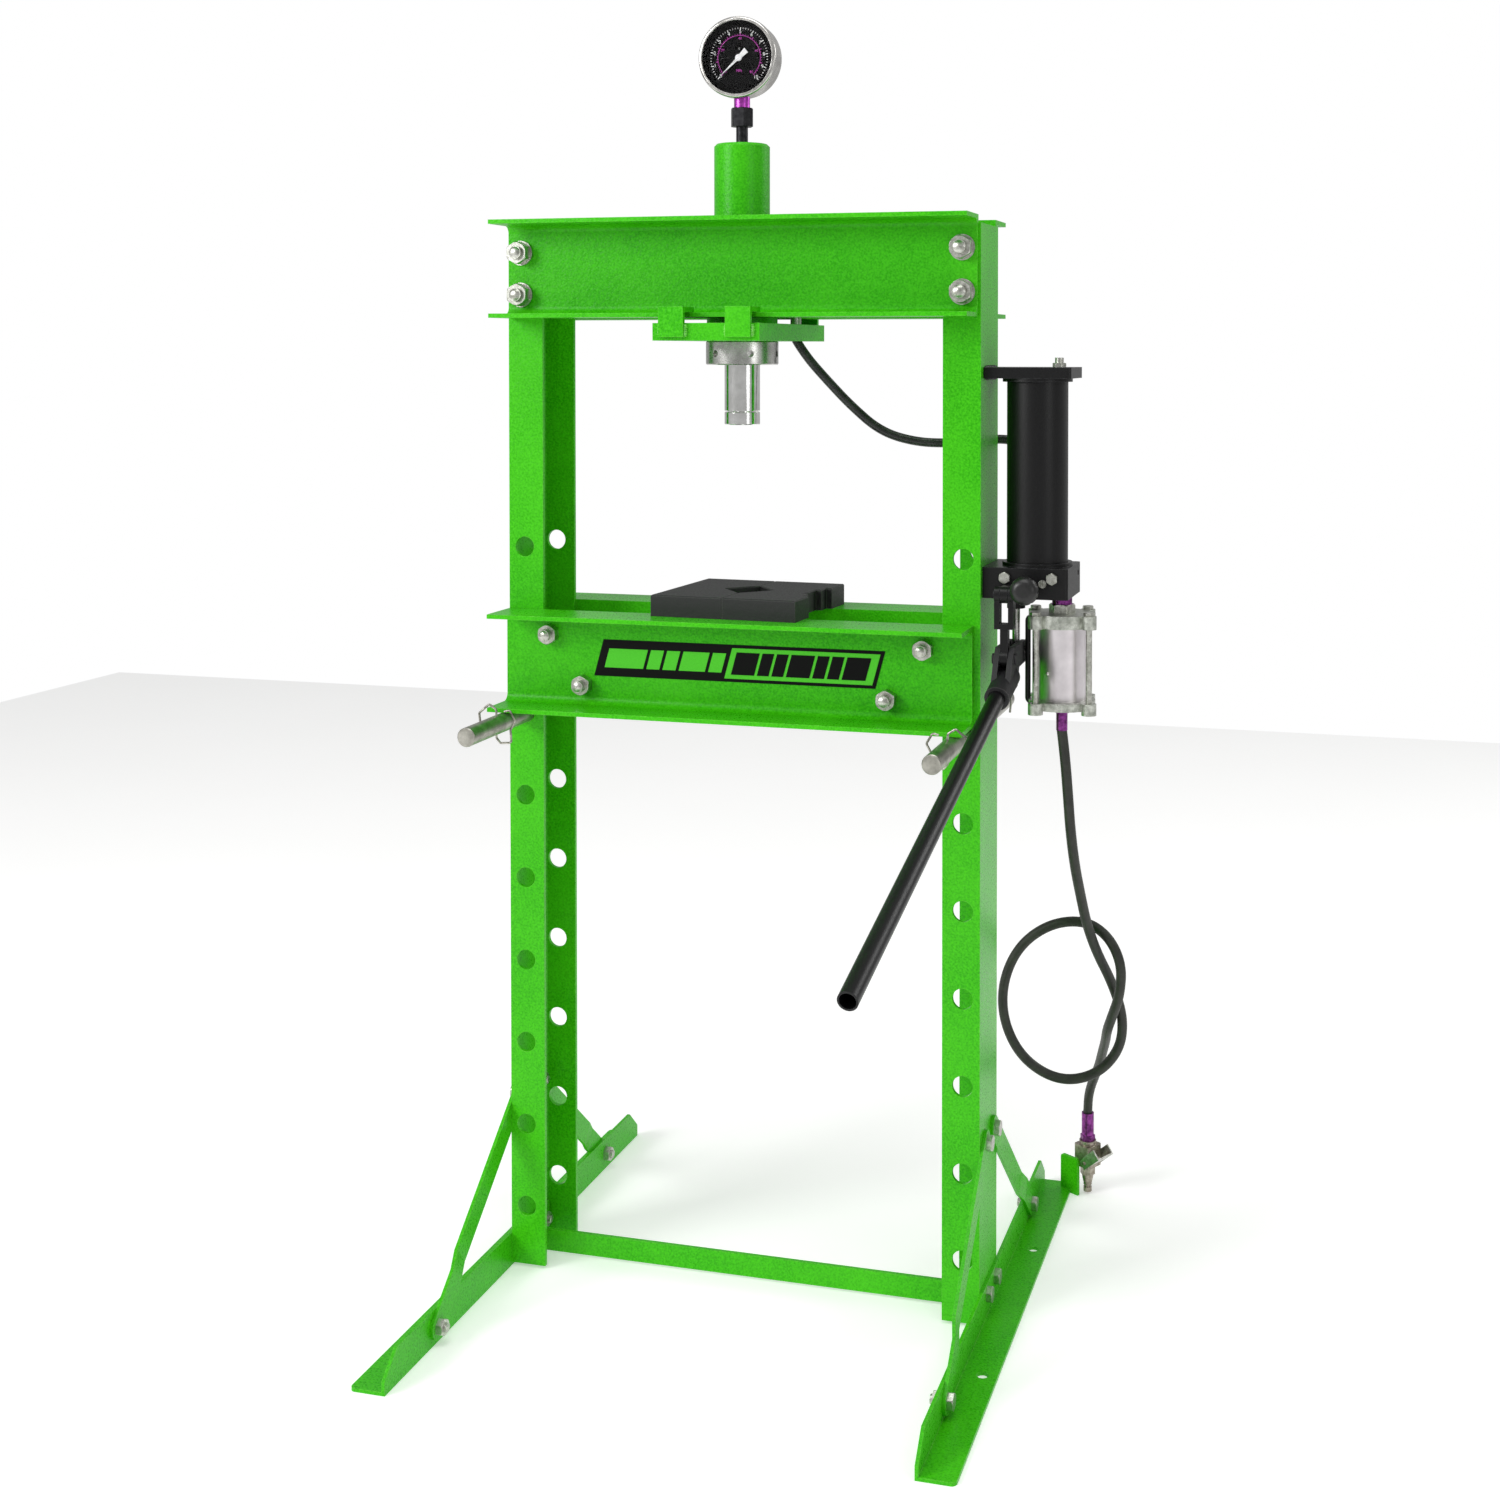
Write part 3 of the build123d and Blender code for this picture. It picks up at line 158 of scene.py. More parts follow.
def castIron(name, look):
    # Sand-cast iron under thin black paint: lumpy and matt, with a painted highlight in grey along sharp edges
    material, tree, shader = newMaterial(name, {"IOR": 1.5})
    point = objectPoint(tree)
    grain = noiseOf(tree, point, look["grain"], 5, 0.65)
    lump = noiseOf(tree, point, 9, 2)
    height = addNode(tree, "Math", operation="ADD")
    tree.links.new(grain, height.inputs[0])
    tree.links.new(lump, height.inputs[1])
    colour = blendColours(tree, rangeOf(tree, grain, 0.35, 0.7, 0, 1), hexColour(look["dark"]), hexColour(look["base"]))
    # Sharp edges get a grey lighter colour: a painted highlight
    castEdgeHighlight = rangeOf(tree, edgeMask(tree, 1.5, 0.82, 0.96), 0, 1, 0, look["edge"])
    colour = blendColours(tree, castEdgeHighlight, colour, hexColour("#6B6A68"))
    roughness = rangeOf(tree, grain, 0.3, 0.7, 0.45, 0.68)
    finishSurface(tree, shader, colour, roughness, height.outputs[0], look["bump"], 0.6, 1.0)
    return material


plateIron = castIron("blackCastPlate", {"base": "#1A1A1B", "dark": "#0D0D0E", "grain": 2.4, "bump": 0.35, "edge": 0.45})
leverIron = castIron("blackCastLever", {"base": "#17171A", "dark": "#0B0B0D", "grain": 1.6, "bump": 0.45, "edge": 0.35})


def metal(name, look):
    # A bare or plated metal: grain runs along the long side of its streaks, with brighter and duller patches
    material, tree, shader = newMaterial(name, {"Metallic": 1.0})
    point = objectPoint(tree, look.get("streak", (1, 1, 1)))
    grain = noiseOf(tree, point, look["grain"], 3, 0.6)
    patch = noiseOf(tree, objectPoint(tree), look["patch"], 3, 0.6)
    colour = blendColours(tree, rangeOf(tree, patch, 0.35, 0.65, 0, 1), hexColour(look["base"]), hexColour(look["other"]))
    dirt = rangeOf(tree, grain, 0.62, 0.75, 0, look.get("dirt", 0.25))
    colour = blendColours(tree, dirt, colour, hexColour("#4A4844"))
    roughness = rangeOf(tree, grain, 0.3, 0.7, look["rough"], look["rough"] + look["spread"])
    finishSurface(tree, shader, colour, roughness, grain, look["bump"], 0.15, look.get("soften", 0.4))
    return material


# Bright zinc plate on fasteners: cool grey with a faint yellow, spangled and a little cloudy
zincPlate = metal("brightZincPlate", {"base": "#D3D4CC", "other": "#A9AAA0", "grain": 1.2, "patch": 5, "rough": 0.24,
                                      "spread": 0.2, "bump": 0.2})
# Turned steel bar: fine rings round a bar that lies front to back
pinSteel = metal("turnedSteelPin", {"base": "#B9B7AE", "other": "#8E8D84", "grain": 3, "patch": 14, "rough": 0.3,
                                    "spread": 0.2, "bump": 0.3, "streak": (1, 6, 1), "dirt": 0.35})
# The gland ring and the plunger, turned about an upright axis
ringSteel = metal("turnedSteelRing", {"base": "#DAD9D6", "other": "#B4B3B0", "grain": 3, "patch": 16, "rough": 0.2,
                                      "spread": 0.14, "bump": 0.12, "streak": (1, 1, 7), "dirt": 0.1})
# Hard chrome on the ram: mirror bright, with faint drawn streaks
ramChrome = metal("hardChromeRam", {"base": "#F4F4F2", "other": "#DEDEDB", "grain": 4, "patch": 22, "rough": 0.1,
                                    "spread": 0.08, "bump": 0.04, "streak": (6, 6, 0.6), "dirt": 0.05})
# Stainless gauge case: polished, slightly warm
caseSteel = metal("polishedCaseSteel", {"base": "#DCDAD6", "other": "#B5B3AF", "grain": 3, "patch": 20, "rough": 0.16,
                                        "spread": 0.14, "bump": 0.05, "dirt": 0.1})
# Spring wire, drawn and dull
clipWire = metal("drawnSpringWire", {"base": "#C2C0B6", "other": "#77756C", "grain": 1.5, "patch": 6, "rough": 0.25,
                                     "spread": 0.2, "bump": 0.2, "dirt": 0.5})
# Extruded, brushed and clear anodised aluminium of the air motor's barrel
barrelAlu = metal("brushedAluminiumBarrel", {"base": "#EFE9EC", "other": "#DDD7DA", "grain": 2, "patch": 30,
                                             "rough": 0.3, "spread": 0.14, "bump": 0.1, "streak": (1, 1, 9),
                                             "dirt": 0.02})
# Die-cast aluminium caps, tumbled, with a faint green tint that is a painted reflection of the green paint around
capAlu = metal("dieCastAluminium", {"base": "#D6D9D0", "other": "#A3A79D", "grain": 1.8, "patch": 7, "rough": 0.25,
                                    "spread": 0.24, "bump": 0.4, "soften": 0.9, "dirt": 0.3})
# Purple passivated steel of the hose ends and nipple
purpleSteel = metal("purplePassivatedSteel", {"base": "#9A4A9C", "other": "#5C2A5F", "grain": 1.5, "patch": 6,
                                              "rough": 0.26, "spread": 0.2, "bump": 0.2, "dirt": 0.3})
# The gauge's socket, a brighter pink-violet of the same finish
socketSteel = metal("pinkPassivatedSteel", {"base": "#D05BD0", "other": "#A040A4", "grain": 1.5, "patch": 5,
                                            "rough": 0.25, "spread": 0.2, "bump": 0.15, "dirt": 0.1})
# Nickel-plated brass of the air valve
valveNickel = metal("nickelPlatedBrass", {"base": "#B3AB9E", "other": "#857D71", "grain": 1.5, "patch": 6, "rough": 0.26,
                                          "spread": 0.2, "bump": 0.2, "soften": 0.7, "dirt": 0.3})
# Black oxide on the gauge's pipe and the small links
oxideSteel = metal("blackOxideSteel", {"base": "#3A3A3C", "other": "#262628", "grain": 1.5, "patch": 6, "rough": 0.34,
                                       "spread": 0.2, "bump": 0.2, "dirt": 0.2})


def nippleSteel(name, split):
    # One turned piece with two finishes: a plain zinc hexagon below, and a purple passivated shank above it
    material, tree, shader = newMaterial(name, {"Metallic": 1.0})
    point = objectPoint(tree)
    upright = addNode(tree, "SeparateXYZ", None, {"Vector": point}).outputs["Z"]
    patch = noiseOf(tree, point, 4, 3, 0.6)
    zinc = blendColours(tree, rangeOf(tree, patch, 0.35, 0.65, 0, 1), hexColour("#D3D4CC"), hexColour("#A9AAA0"))
    purple = blendColours(tree, rangeOf(tree, patch, 0.35, 0.65, 0, 1), hexColour("#9A4A9C"), hexColour("#5C2A5F"))
    above = rangeOf(tree, upright, split - 0.1 * mm, split + 0.1 * mm, 0, 1)
    finishSurface(tree, shader, blendColours(tree, above, zinc, purple), rangeOf(tree, patch, 0.3, 0.7, 0.22, 0.4), patch,
                  0.15, 0.15, 0.4)
    return material


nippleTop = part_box("motor_nipple")[1][2]
nippleHeights = {"shank": 9 * mm}
nippleFinish = nippleSteel("zincAndPurpleNipple", nippleTop - nippleHeights["shank"])


def rubber(name, look):
    # Extruded hose cover: near black, satin, with the faint cloth print of its braid
    material, tree, shader = newMaterial(name, {"IOR": 1.5, "Specular IOR Level": 0.5})
    point = objectPoint(tree)
    fine = noiseOf(tree, point, look["grain"], 3, 0.7)
    dust = noiseOf(tree, point, 16, 4, 0.7)
    colour = blendColours(tree, rangeOf(tree, dust, 0.4, 0.7, 0, 1), hexColour(look["base"]), hexColour(look["dust"]))
    roughness = rangeOf(tree, fine, 0.3, 0.7, look["rough"], look["rough"] + 0.22)
    finishSurface(tree, shader, colour, roughness, fine, look["bump"], 0.5)
    return material


hydraulicRubber = rubber("wrappedHoseRubber", {"base": "#131613", "dust": "#2A2F2A", "grain": 2.6, "rough": 0.16,
                                               "bump": 1.0})
airRubber = rubber("smoothHoseRubber", {"base": "#1C1E17", "dust": "#2C2F26", "grain": 1.2, "rough": 0.4, "bump": 0.3})


def moulded(name, look):
    # Moulded plastic or baked enamel: one colour with a fine sparked texture
    material, tree, shader = newMaterial(name, {"IOR": 1.5, "Specular IOR Level": look.get("gloss", 0.5)})
    point = objectPoint(tree)
    fine = noiseOf(tree, point, look["grain"], 2, 0.6)
    colour = blendColours(tree, rangeOf(tree, fine, 0.3, 0.7, 0, 1), hexColour(look["base"]), hexColour(look["other"]))
    roughness = rangeOf(tree, fine, 0.3, 0.7, look["rough"], look["rough"] + 0.12)
    finishSurface(tree, shader, colour, roughness, fine, look["bump"], 0.2, look.get("soften", 0))
    return material


knobPlastic = moulded("phenolicKnob", {"base": "#101010", "other": "#1B1B1B", "grain": 1.2, "rough": 0.3, "bump": 0.2,
                                       "soften": 0.8})
dialEnamel = moulded("blackDialEnamel", {"base": "#050506", "other": "#0A0A0C", "grain": 1.5, "rough": 0.6,
                                           "bump": 0.05, "gloss": 0.1})
whiteInk = moulded("whiteDialInk", {"base": "#FFFFFF", "other": "#F2F2F4", "grain": 1, "rough": 0.5, "bump": 0.02})
pinkInk = moulded("magentaDialInk", {"base": "#D545C4", "other": "#B838AA", "grain": 1, "rough": 0.5, "bump": 0.02})
badgeBlack = moulded("blackBadgeVinyl", {"base": "#020202", "other": "#070707", "grain": 1.5, "rough": 0.5,
                                          "bump": 0.04, "gloss": 0.12})
badgeGreen = moulded("greenBadgeVinyl", {"base": "#52CC2A", "other": "#4AC122", "grain": 1.5, "rough": 0.4,
                                          "bump": 0.04, "gloss": 0.25})


def glassOf(name):
    # Flat window glass with a matt coating: clear, with a faint reflection, so its index is set below that of plain glass
    material, tree, shader = newMaterial(name, {"Transmission Weight": 1.0, "IOR": 1.2, "Roughness": 0.02,
                                                "Base Color": (1, 1, 1, 1)})
    smear = noiseOf(tree, objectPoint(tree), 14, 3, 0.7)
    tree.links.new(rangeOf(tree, smear, 0.4, 0.8, 0.0, 0.02), shader.inputs["Roughness"])
    return material


windowGlass = glassOf("gaugeWindowGlass")

finishes = {
    greenPaint: ["left_column", "right_column", "front_head_channel", "rear_head_channel", "left_foot", "right_foot",
                 "left_foot_braces", "right_foot_braces", "cross_bar", "front_bed_channel", "rear_bed_channel",
                 "bed_spacer_tubes", "support_plate", "cylinder_tube"],
    blackPaint: ["pump_bracket", "reservoir_tube", "pump_block", "pump_handle", "fulcrum_link"],
    plateIron: ["left_arbor_plate", "right_arbor_plate"],
    leverIron: ["lever_socket"],
    zincPlate: ["head_bolts", "head_nuts", "base_bolts", "base_nuts", "bed_tie_bolts", "bed_tie_nuts",
                "filler_screw", "block_screws", "motor_tie_rods", "hydraulic_fittings", "valve_lever"],
    pinSteel: ["left_bed_pin", "right_bed_pin"],
    clipWire: ["left_pin_clips", "right_pin_clips", "return_spring"],
    ringSteel: ["gland_nut", "ram_piston", "pump_plunger"],
    ramChrome: ["ram_rod", "ram_saddle"],
    caseSteel: ["gauge_case", "gauge_bezel"],
    oxideSteel: ["gauge_pipe"],
    socketSteel: ["gauge_stem"],
    barrelAlu: ["motor_barrel", "motor_piston"],
    capAlu: ["motor_end_caps"],
    purpleSteel: ["hose_ferrules"],
    nippleFinish: ["motor_nipple"],
    valveNickel: ["air_valve"],
    knobPlastic: ["release_knob", "piston_seal"],
    dialEnamel: ["gauge_dial"],
    whiteInk: ["gauge_needle"],
    windowGlass: ["gauge_lens"],
}
for material, names in finishes.items():
    for name in names:
        mesh = nodes[name].data
        mesh.materials.clear()
        mesh.materials.append(material)
print("finishes set")


def placePiece(name, mesh, material, body):
    piece = bpy.data.objects.new(name, mesh)
    bpy.context.scene.collection.objects.link(piece)
    if material is not None:
        mesh.materials.append(material)
    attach(piece, body)
    return piece


def meshFrom(name, points, faces, smooth=True):
    mesh = bpy.data.meshes.new(name)
    faceList = faces if isinstance(faces, list) else np.asarray(faces).tolist()
    mesh.from_pydata(np.asarray(points).tolist(), [], faceList)
    mesh.validate()
    mesh.polygons.foreach_set("use_smooth", np.full(len(mesh.polygons), smooth))
    mesh.update()
    return mesh


def gridFaces(rows, columns, offset=0, closedAround=True):
    # quads of a grid whose columns run round the form; row i, column j is point i * columns + j
    i, j = np.meshgrid(np.arange(rows - 1), np.arange(columns if closedAround else columns - 1), indexing="ij")
    nextColumn = (j + 1) % columns
    near, far = i * columns, (i + 1) * columns  # first point of this row and of the next
    quads = np.stack([near + j, near + nextColumn, far + nextColumn, far + j], -1)
    return quads.reshape(-1, 4) + offset


def framesAlong(path):
    # unit tangents, and two unit directions square to them, turned as little as possible along the path
    tangent = np.gradient(path, axis=0)
    tangent /= np.linalg.norm(tangent, axis=1, keepdims=True)
    side = np.zeros_like(path)
    previous = np.array([0.0, 0.0, 1.0]) if abs(tangent[0, 2]) < 0.9 else np.array([0.0, 1.0, 0.0])
    for k in range(len(path)):  # each side direction depends on the one before it
        previous = previous - tangent[k] * previous.dot(tangent[k])
        previous = previous / np.linalg.norm(previous)
        side[k] = previous
    return tangent, side, np.cross(tangent, side)


def sweptTube(path, radii, around):
    # point(u, v) = path(u) + radius(u) * (cos v * side + sin v * up), closed at both ends by a single point
    path = np.asarray(path, float)
    tangent, side, up = framesAlong(path)
    angle = np.linspace(0, 2 * math.pi, around, endpoint=False)
    ring = np.cos(angle)[None, :, None] * side[:, None, :] + np.sin(angle)[None, :, None] * up[:, None, :]
    points = path[:, None, :] + np.asarray(radii)[:, None, None] * ring
    rows = len(path)
    points = np.vstack([points.reshape(-1, 3), path[:1], path[-1:]])
    faces = gridFaces(rows, around).tolist()
    j = np.arange(around)
    k = (j + 1) % around
    last = (rows - 1) * around
    faces += np.stack([k, j, np.full(around, rows * around)], 1).tolist()
    faces += np.stack([last + j, last + k, np.full(around, rows * around + 1)], 1).tolist()
    return points, faces


def joined(parts):
    # several (points, faces) pairs as one
    points, faces, offset = [], [], 0
    for partPoints, partFaces in parts:
        points.append(np.asarray(partPoints))
        faces += [[index + offset for index in face] for face in partFaces]
        offset += len(partPoints)
    return np.vstack(points), faces


# Thread ends: a turned thread's crest follows r(v, s) = core + depth * triangle(s / pitch - v / 2 pi)
threadLook = {"depth": 0.45 * mm, "turnsPerRow": 8, "around": 20, "cover": 0.12 * mm, "pitchOfDiameter": 0.15}


def threadEnd(tip, inward, radius, length):
    inward = np.asarray(inward, float)
    pitch = 2 * radius * threadLook["pitchOfDiameter"]
    rows = max(6, int(length / pitch * threadLook["turnsPerRow"]))
    around = threadLook["around"]
    s, v = np.meshgrid(np.linspace(0, length, rows), np.linspace(0, 2 * math.pi, around, endpoint=False), indexing="ij")
    side = np.cross(inward, [0.0, 0.0, 1.0])
    up = np.cross(inward, side)
    wave = np.abs(((s / pitch - v / (2 * math.pi)) % 1) - 0.5) * 2
    taper = np.clip(s / (0.5 * pitch), 0, 1)
    r = radius + threadLook["cover"] - threadLook["depth"] * (1 - wave) * 0.9 - (1 - taper) * 0.9 * mm
    r = np.maximum(r, radius * 0.8)
    centre = np.asarray(tip, float) - inward * threadLook["cover"]
    points = centre + s[..., None] * inward + r[..., None] * (np.cos(v)[..., None] * side + np.sin(v)[..., None] * up)
    points = np.vstack([points.reshape(-1, 3), [centre]])
    faces = gridFaces(rows, around).tolist()
    j = np.arange(around)
    faces += np.stack([(j + 1) % around, j, np.full(around, rows * around)], 1).tolist()
    return points, faces


def islandsOf(node):
    # the vertex groups of a node that hang together, found by merging equal places
    mesh = nodes[node].data
    points = np.empty(len(mesh.vertices) * 3)
    mesh.vertices.foreach_get("co", points)
    points = points.reshape(-1, 3)
    corners = np.empty(len(mesh.loops), dtype=int)
    mesh.loops.foreach_get("vertex_index", corners)
    keys, same = np.unique(np.round(points * 1e5).astype(int), axis=0, return_inverse=True)
    same = same.reshape(-1)
    label = np.arange(len(keys))
    triangles = same[corners].reshape(-1, 3)
    while True:  # spread the lowest label over each triangle until nothing changes
        low = label[triangles].min(axis=1)
        new = label.copy()
        np.minimum.at(new, triangles.reshape(-1), np.repeat(low, 3))
        if (new == label).all():
            break
        label = new
    group = label[same]
    return [points[group == g] for g in np.unique(group)]


def threadsOn(name, node, axis, outwardOf, radius, length, body):
    # a thread on the far end of each bolt of a node; outwardOf gives which way the bolt's end points
    parts = []
    for cloud in islandsOf(node):
        low, high = cloud.min(axis=0), cloud.max(axis=0)
        centre = (low + high) / 2
        sign = outwardOf(centre)
        tip = centre.copy()
        tip[axis] = high[axis] if sign > 0 else low[axis]
        inward = np.zeros(3)
        inward[axis] = -sign
        end = cloud[np.abs(cloud[:, axis] - tip[axis]) < 1e-5]
        others = [k for k in range(3) if k != axis]
        tip[others] = (end[:, others].min(axis=0) + end[:, others].max(axis=0)) / 2
        parts.append(threadEnd(tip, inward, radius, length))
    points, faces = joined(parts)
    return placePiece(name, meshFrom(name, points, faces), zincPlate, body)


threadsOn("headBoltThreads", "head_bolts", 1, lambda c: 1 if c[1] > 0 else -1, 8 * mm, 4 * mm, "frame")
threadsOn("baseBoltThreads", "base_bolts", 0, lambda c: -1 if c[0] > 0 else 1, 5 * mm, 3 * mm, "frame")
threadsOn("bedBoltThreads", "bed_tie_bolts", 1, lambda c: -1, 7 * mm, 8 * mm, "bed")
print("threads cut")

# Weld beads: a bead is half a bar swept along its joint, its radius rippled by each droplet and pinched at the ends
weldLook = {"radius": 3.2 * mm, "ripple": 0.16, "droplet": 2.6 * mm, "step": 0.5 * mm, "around": 12}


def weldBead(start, end, radius=weldLook["radius"]):
    start, end = np.asarray(start, float), np.asarray(end, float)
    length = np.linalg.norm(end - start)
    count = max(8, int(length / weldLook["step"]))
    t = np.linspace(0, 1, count)
    path = start + (end - start) * t[:, None]
    wander = np.sin(t * length / weldLook["droplet"] * 1.7 + start.sum() * 900)[:, None] * 0.25 * mm
    across = np.cross(end - start, [0.31, 0.27, 0.91])
    path = path + wander * across / np.linalg.norm(across)
    droplets = 1 + weldLook["ripple"] * np.sin(t * length / weldLook["droplet"] * 2 * math.pi)
    pinch = np.sqrt(np.clip(1 - np.abs(2 * t - 1) ** 6, 0.02, 1))
    return sweptTube(path, radius * droplets * pinch, weldLook["around"])


plateLow, plateHigh = (np.array(c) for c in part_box("support_plate"))
tubeLow, tubeHigh = (np.array(c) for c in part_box("cylinder_tube"))
ramX = (tubeLow[0] + tubeHigh[0]) / 2
hook = {"offset": 40 * mm, "half": 15 * mm, "wall": 6 * mm, "low": 4 * mm, "plate": 20 * mm}
hookBeads = []
for sideX in (-1, 1):
    for sideY in (-1, 1):
        wallY = plateHigh[1] - hook["wall"] if sideY > 0 else plateLow[1] + hook["wall"]
        for edge in (-1, 1):
            x = ramX + sideX * hook["offset"] + edge * hook["half"]
            z0 = plateLow[2] + hook["low"]
            hookBeads.append(weldBead((x, wallY, z0), (x, wallY, z0 + hook["plate"] - 5 * mm)))
points, faces = joined(hookBeads)
placePiece("hookWelds", meshFrom("hookWelds", points, faces), weldHighlightPaint, "frame")

bracketLow, bracketHigh = (np.array(c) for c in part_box("pump_bracket"))
columnLow, columnHigh = (np.array(c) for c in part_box("right_column"))
bracketSeam = {"inset": 6 * mm, "lift": 4 * mm, "radius": 2 * mm}
bracketBeads = []
for z in (bracketLow[2] + bracketSeam["lift"], bracketHigh[2]):
    front = (columnHigh[0], bracketLow[1] + bracketSeam["inset"], z)
    rear = (columnHigh[0], bracketHigh[1] - bracketSeam["inset"], z)
    bracketBeads.append(weldBead(front, rear, bracketSeam["radius"]))
points, faces = joined(bracketBeads)
placePiece("bracketWelds", meshFrom("bracketWelds", points, faces), blackPaint, "frame")
print("welds laid")

# Air motor's transfer pipe: a bar bent square at both ends, from cap to cap beside the barrel
pipeLook = {"radius": 3.2 * mm, "standOff": 39.5 * mm, "reach": 9 * mm, "bend": 5 * mm, "inset": 5 * mm}
capLow, capHigh = (np.array(c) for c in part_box("motor_end_caps"))
motorX, motorY = (capLow[0] + capHigh[0]) / 2, (capLow[1] + capHigh[1]) / 2


def bentPath(corners, radius, steps=8):
    # straight runs joined by quarter arcs: each corner is replaced by points on its tangent circle
    corners = np.asarray(corners, float)
    path = [corners[0]]
    for k in range(1, len(corners) - 1):
        back = corners[k - 1] - corners[k]
        ahead = corners[k + 1] - corners[k]
        back, ahead = back / np.linalg.norm(back), ahead / np.linalg.norm(ahead)
        centre = corners[k] + (back + ahead) * radius
        angle = np.linspace(0, math.pi / 2, steps)
        path += list(centre - np.cos(angle)[:, None] * ahead * radius - np.sin(angle)[:, None] * back * radius)
    return np.array(path + [corners[-1]])


# The pipe's place and black paint follow a dark strip beside the barrel that is partly shade, so its black is partly
# painted shade
pipeX = motorX - pipeLook["standOff"]
pipeTop, pipeFoot = capHigh[2] - pipeLook["inset"] - 1 * mm, capLow[2] + pipeLook["inset"] + 3 * mm
pipePath = bentPath([(pipeX + pipeLook["reach"], motorY, pipeTop), (pipeX, motorY, pipeTop),
                     (pipeX, motorY, pipeFoot), (pipeX + pipeLook["reach"], motorY, pipeFoot)], pipeLook["bend"])
points, faces = sweptTube(pipePath, np.full(len(pipePath), pipeLook["radius"]), 20)
placePiece("transferPipe", meshFrom("transferPipe", points, faces), blackPaint, "frame")

# Barrel's vent screw: a domed button, radius(t) = r cos t, height = h sin t
ventLook = {"radius": 2.6 * mm, "rise": 1.8 * mm, "down": 0.62, "turn": -118}
barrelLow, barrelHigh = (np.array(c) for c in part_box("motor_barrel"))
barrelRadius = (barrelHigh[0] - barrelLow[0]) / 2
turn = math.radians(ventLook["turn"])
outward = np.array([math.cos(turn), math.sin(turn), 0])
ventBase = np.array([motorX, motorY, barrelHigh[2] - (barrelHigh[2] - barrelLow[2]) * ventLook["down"]])
t = np.linspace(0, math.pi / 2 * 0.98, 8)
ventPath = ventBase + outward * (barrelRadius - 1 * mm + (1 * mm + ventLook["rise"]) * np.sin(t))[:, None]
points, faces = sweptTube(ventPath, ventLook["radius"] * np.cos(t), 20)
placePiece("ventScrew", meshFrom("ventScrew", points, faces), zincPlate, "frame")
print("air motor dressed")


# Flat marks on a plane: each is an outline lifted a little off the face, given a thin wall
def flatMark(outline, lift):
    # a prism: the outline at the face and again lifted off it, joined round the rim
    outline = np.asarray(outline, float)
    count = len(outline)
    points = np.vstack([outline, outline + lift])
    j = np.arange(count)
    k = (j + 1) % count
    faces = np.stack([j, k, k + count, j + count], 1).tolist()
    return points, faces + [list(range(count - 1, -1, -1)), list(range(count, 2 * count))]


# Badge: a plain slanted plate with slanted bars and no lettering
badgeLook = {"left": 125 * mm, "width": 346 * mm, "height": 43.5 * mm, "drop": 32 * mm, "slant": 12 * mm,
             "thick": 0.5 * mm, "frameWall": 3.5 * mm, "split": 0.47, "leftBars": [3, 1, 1, 2, 1],
             "rightBars": [2, 1, 1, 2, 1, 1, 2]}
bedLow, bedHigh = (np.array(c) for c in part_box("front_bed_channel"))
badgeFace = bedHigh[1] - 6 * mm
badgeLift = np.array([0, -badgeLook["thick"], 0])


def badgeOutline(x0, x1, z0, z1, depth):
    # a slanted box in the badge's own plane: x leans with height by slant over height
    lean = badgeLook["slant"] / badgeLook["height"]
    baseX, baseZ = bedLow[0] + badgeLook["left"] - badgeLook["slant"], bedHigh[2] - badgeLook["drop"] - badgeLook["height"]
    corners = [(x0, z0), (x1, z0), (x1, z1), (x0, z1)]
    return [(baseX + x + z * lean, badgeFace - depth, baseZ + z) for x, z in corners]


width, height, wall = badgeLook["width"], badgeLook["height"], badgeLook["frameWall"]
points, faces = flatMark(badgeOutline(0, width, 0, height, 0), badgeLift)
placePiece("badgePlate", meshFrom("badgePlate", points, faces, False), badgeBlack, "bed")
split = width * badgeLook["split"]


def barRow(x0, x1, widths, low, high, depth):
    # slanted bars side by side from x0 to x1, as wide as their shares, with gaps of a quarter share
    shares = np.array(widths, float)
    unit = (x1 - x0) / (shares.sum() + 0.25 * (len(shares) - 1))
    starts = x0 + unit * (np.cumsum(shares) - shares + 0.25 * np.arange(len(shares)))
    return [flatMark(badgeOutline(a, a + w * unit, height * low, height * high, depth), badgeLift)
            for a, w in zip(starts, shares)]


greenField = badgeOutline(split, width - wall * 1.3, wall * 1.1, height - wall * 1.1, badgeLook["thick"])
greenMarks = [flatMark(greenField, badgeLift)]
greenMarks += barRow(wall * 3, split - wall * 1.6, badgeLook["leftBars"], 0.24, 0.76, badgeLook["thick"])
points, faces = joined(greenMarks)
placePiece("badgeGreenMarks", meshFrom("badgeGreenMarks", points, faces, False), badgeGreen, "bed")
blackBars = barRow(split + wall * 2, width - wall * 4, badgeLook["rightBars"], 0.2, 0.8, 2 * badgeLook["thick"])
points, faces = joined(blackBars)
placePiece("badgeBlackMarks", meshFrom("badgeBlackMarks", points, faces, False), badgeBlack, "bed")
print("badge fixed")

# Gauge scale: ticks are thin bars on radii of the dial, numbers stand round them
dialLow, dialHigh = (np.array(c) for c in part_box("gauge_dial"))
dialCentre = (dialLow + dialHigh) / 2
dialFace = dialLow[1]
scaleLook = {"start": 222, "sweep": 270, "major": 10, "minor": 5, "outer": 36 * mm, "tick": 3.4 * mm,
             "number": 30.2 * mm,
             "innerRing": 26.5 * mm, "innerTick": 2.4 * mm, "lift": 0.15 * mm, "numberSize": 6.0 * mm}


def dialPoint(radius, degrees):
    # centre + radius * (cos, sin), in the plane of the dial's face
    turn = math.radians(degrees)
    return np.array([dialCentre[0] + radius * math.cos(turn), dialFace, dialCentre[2] + radius * math.sin(turn)])


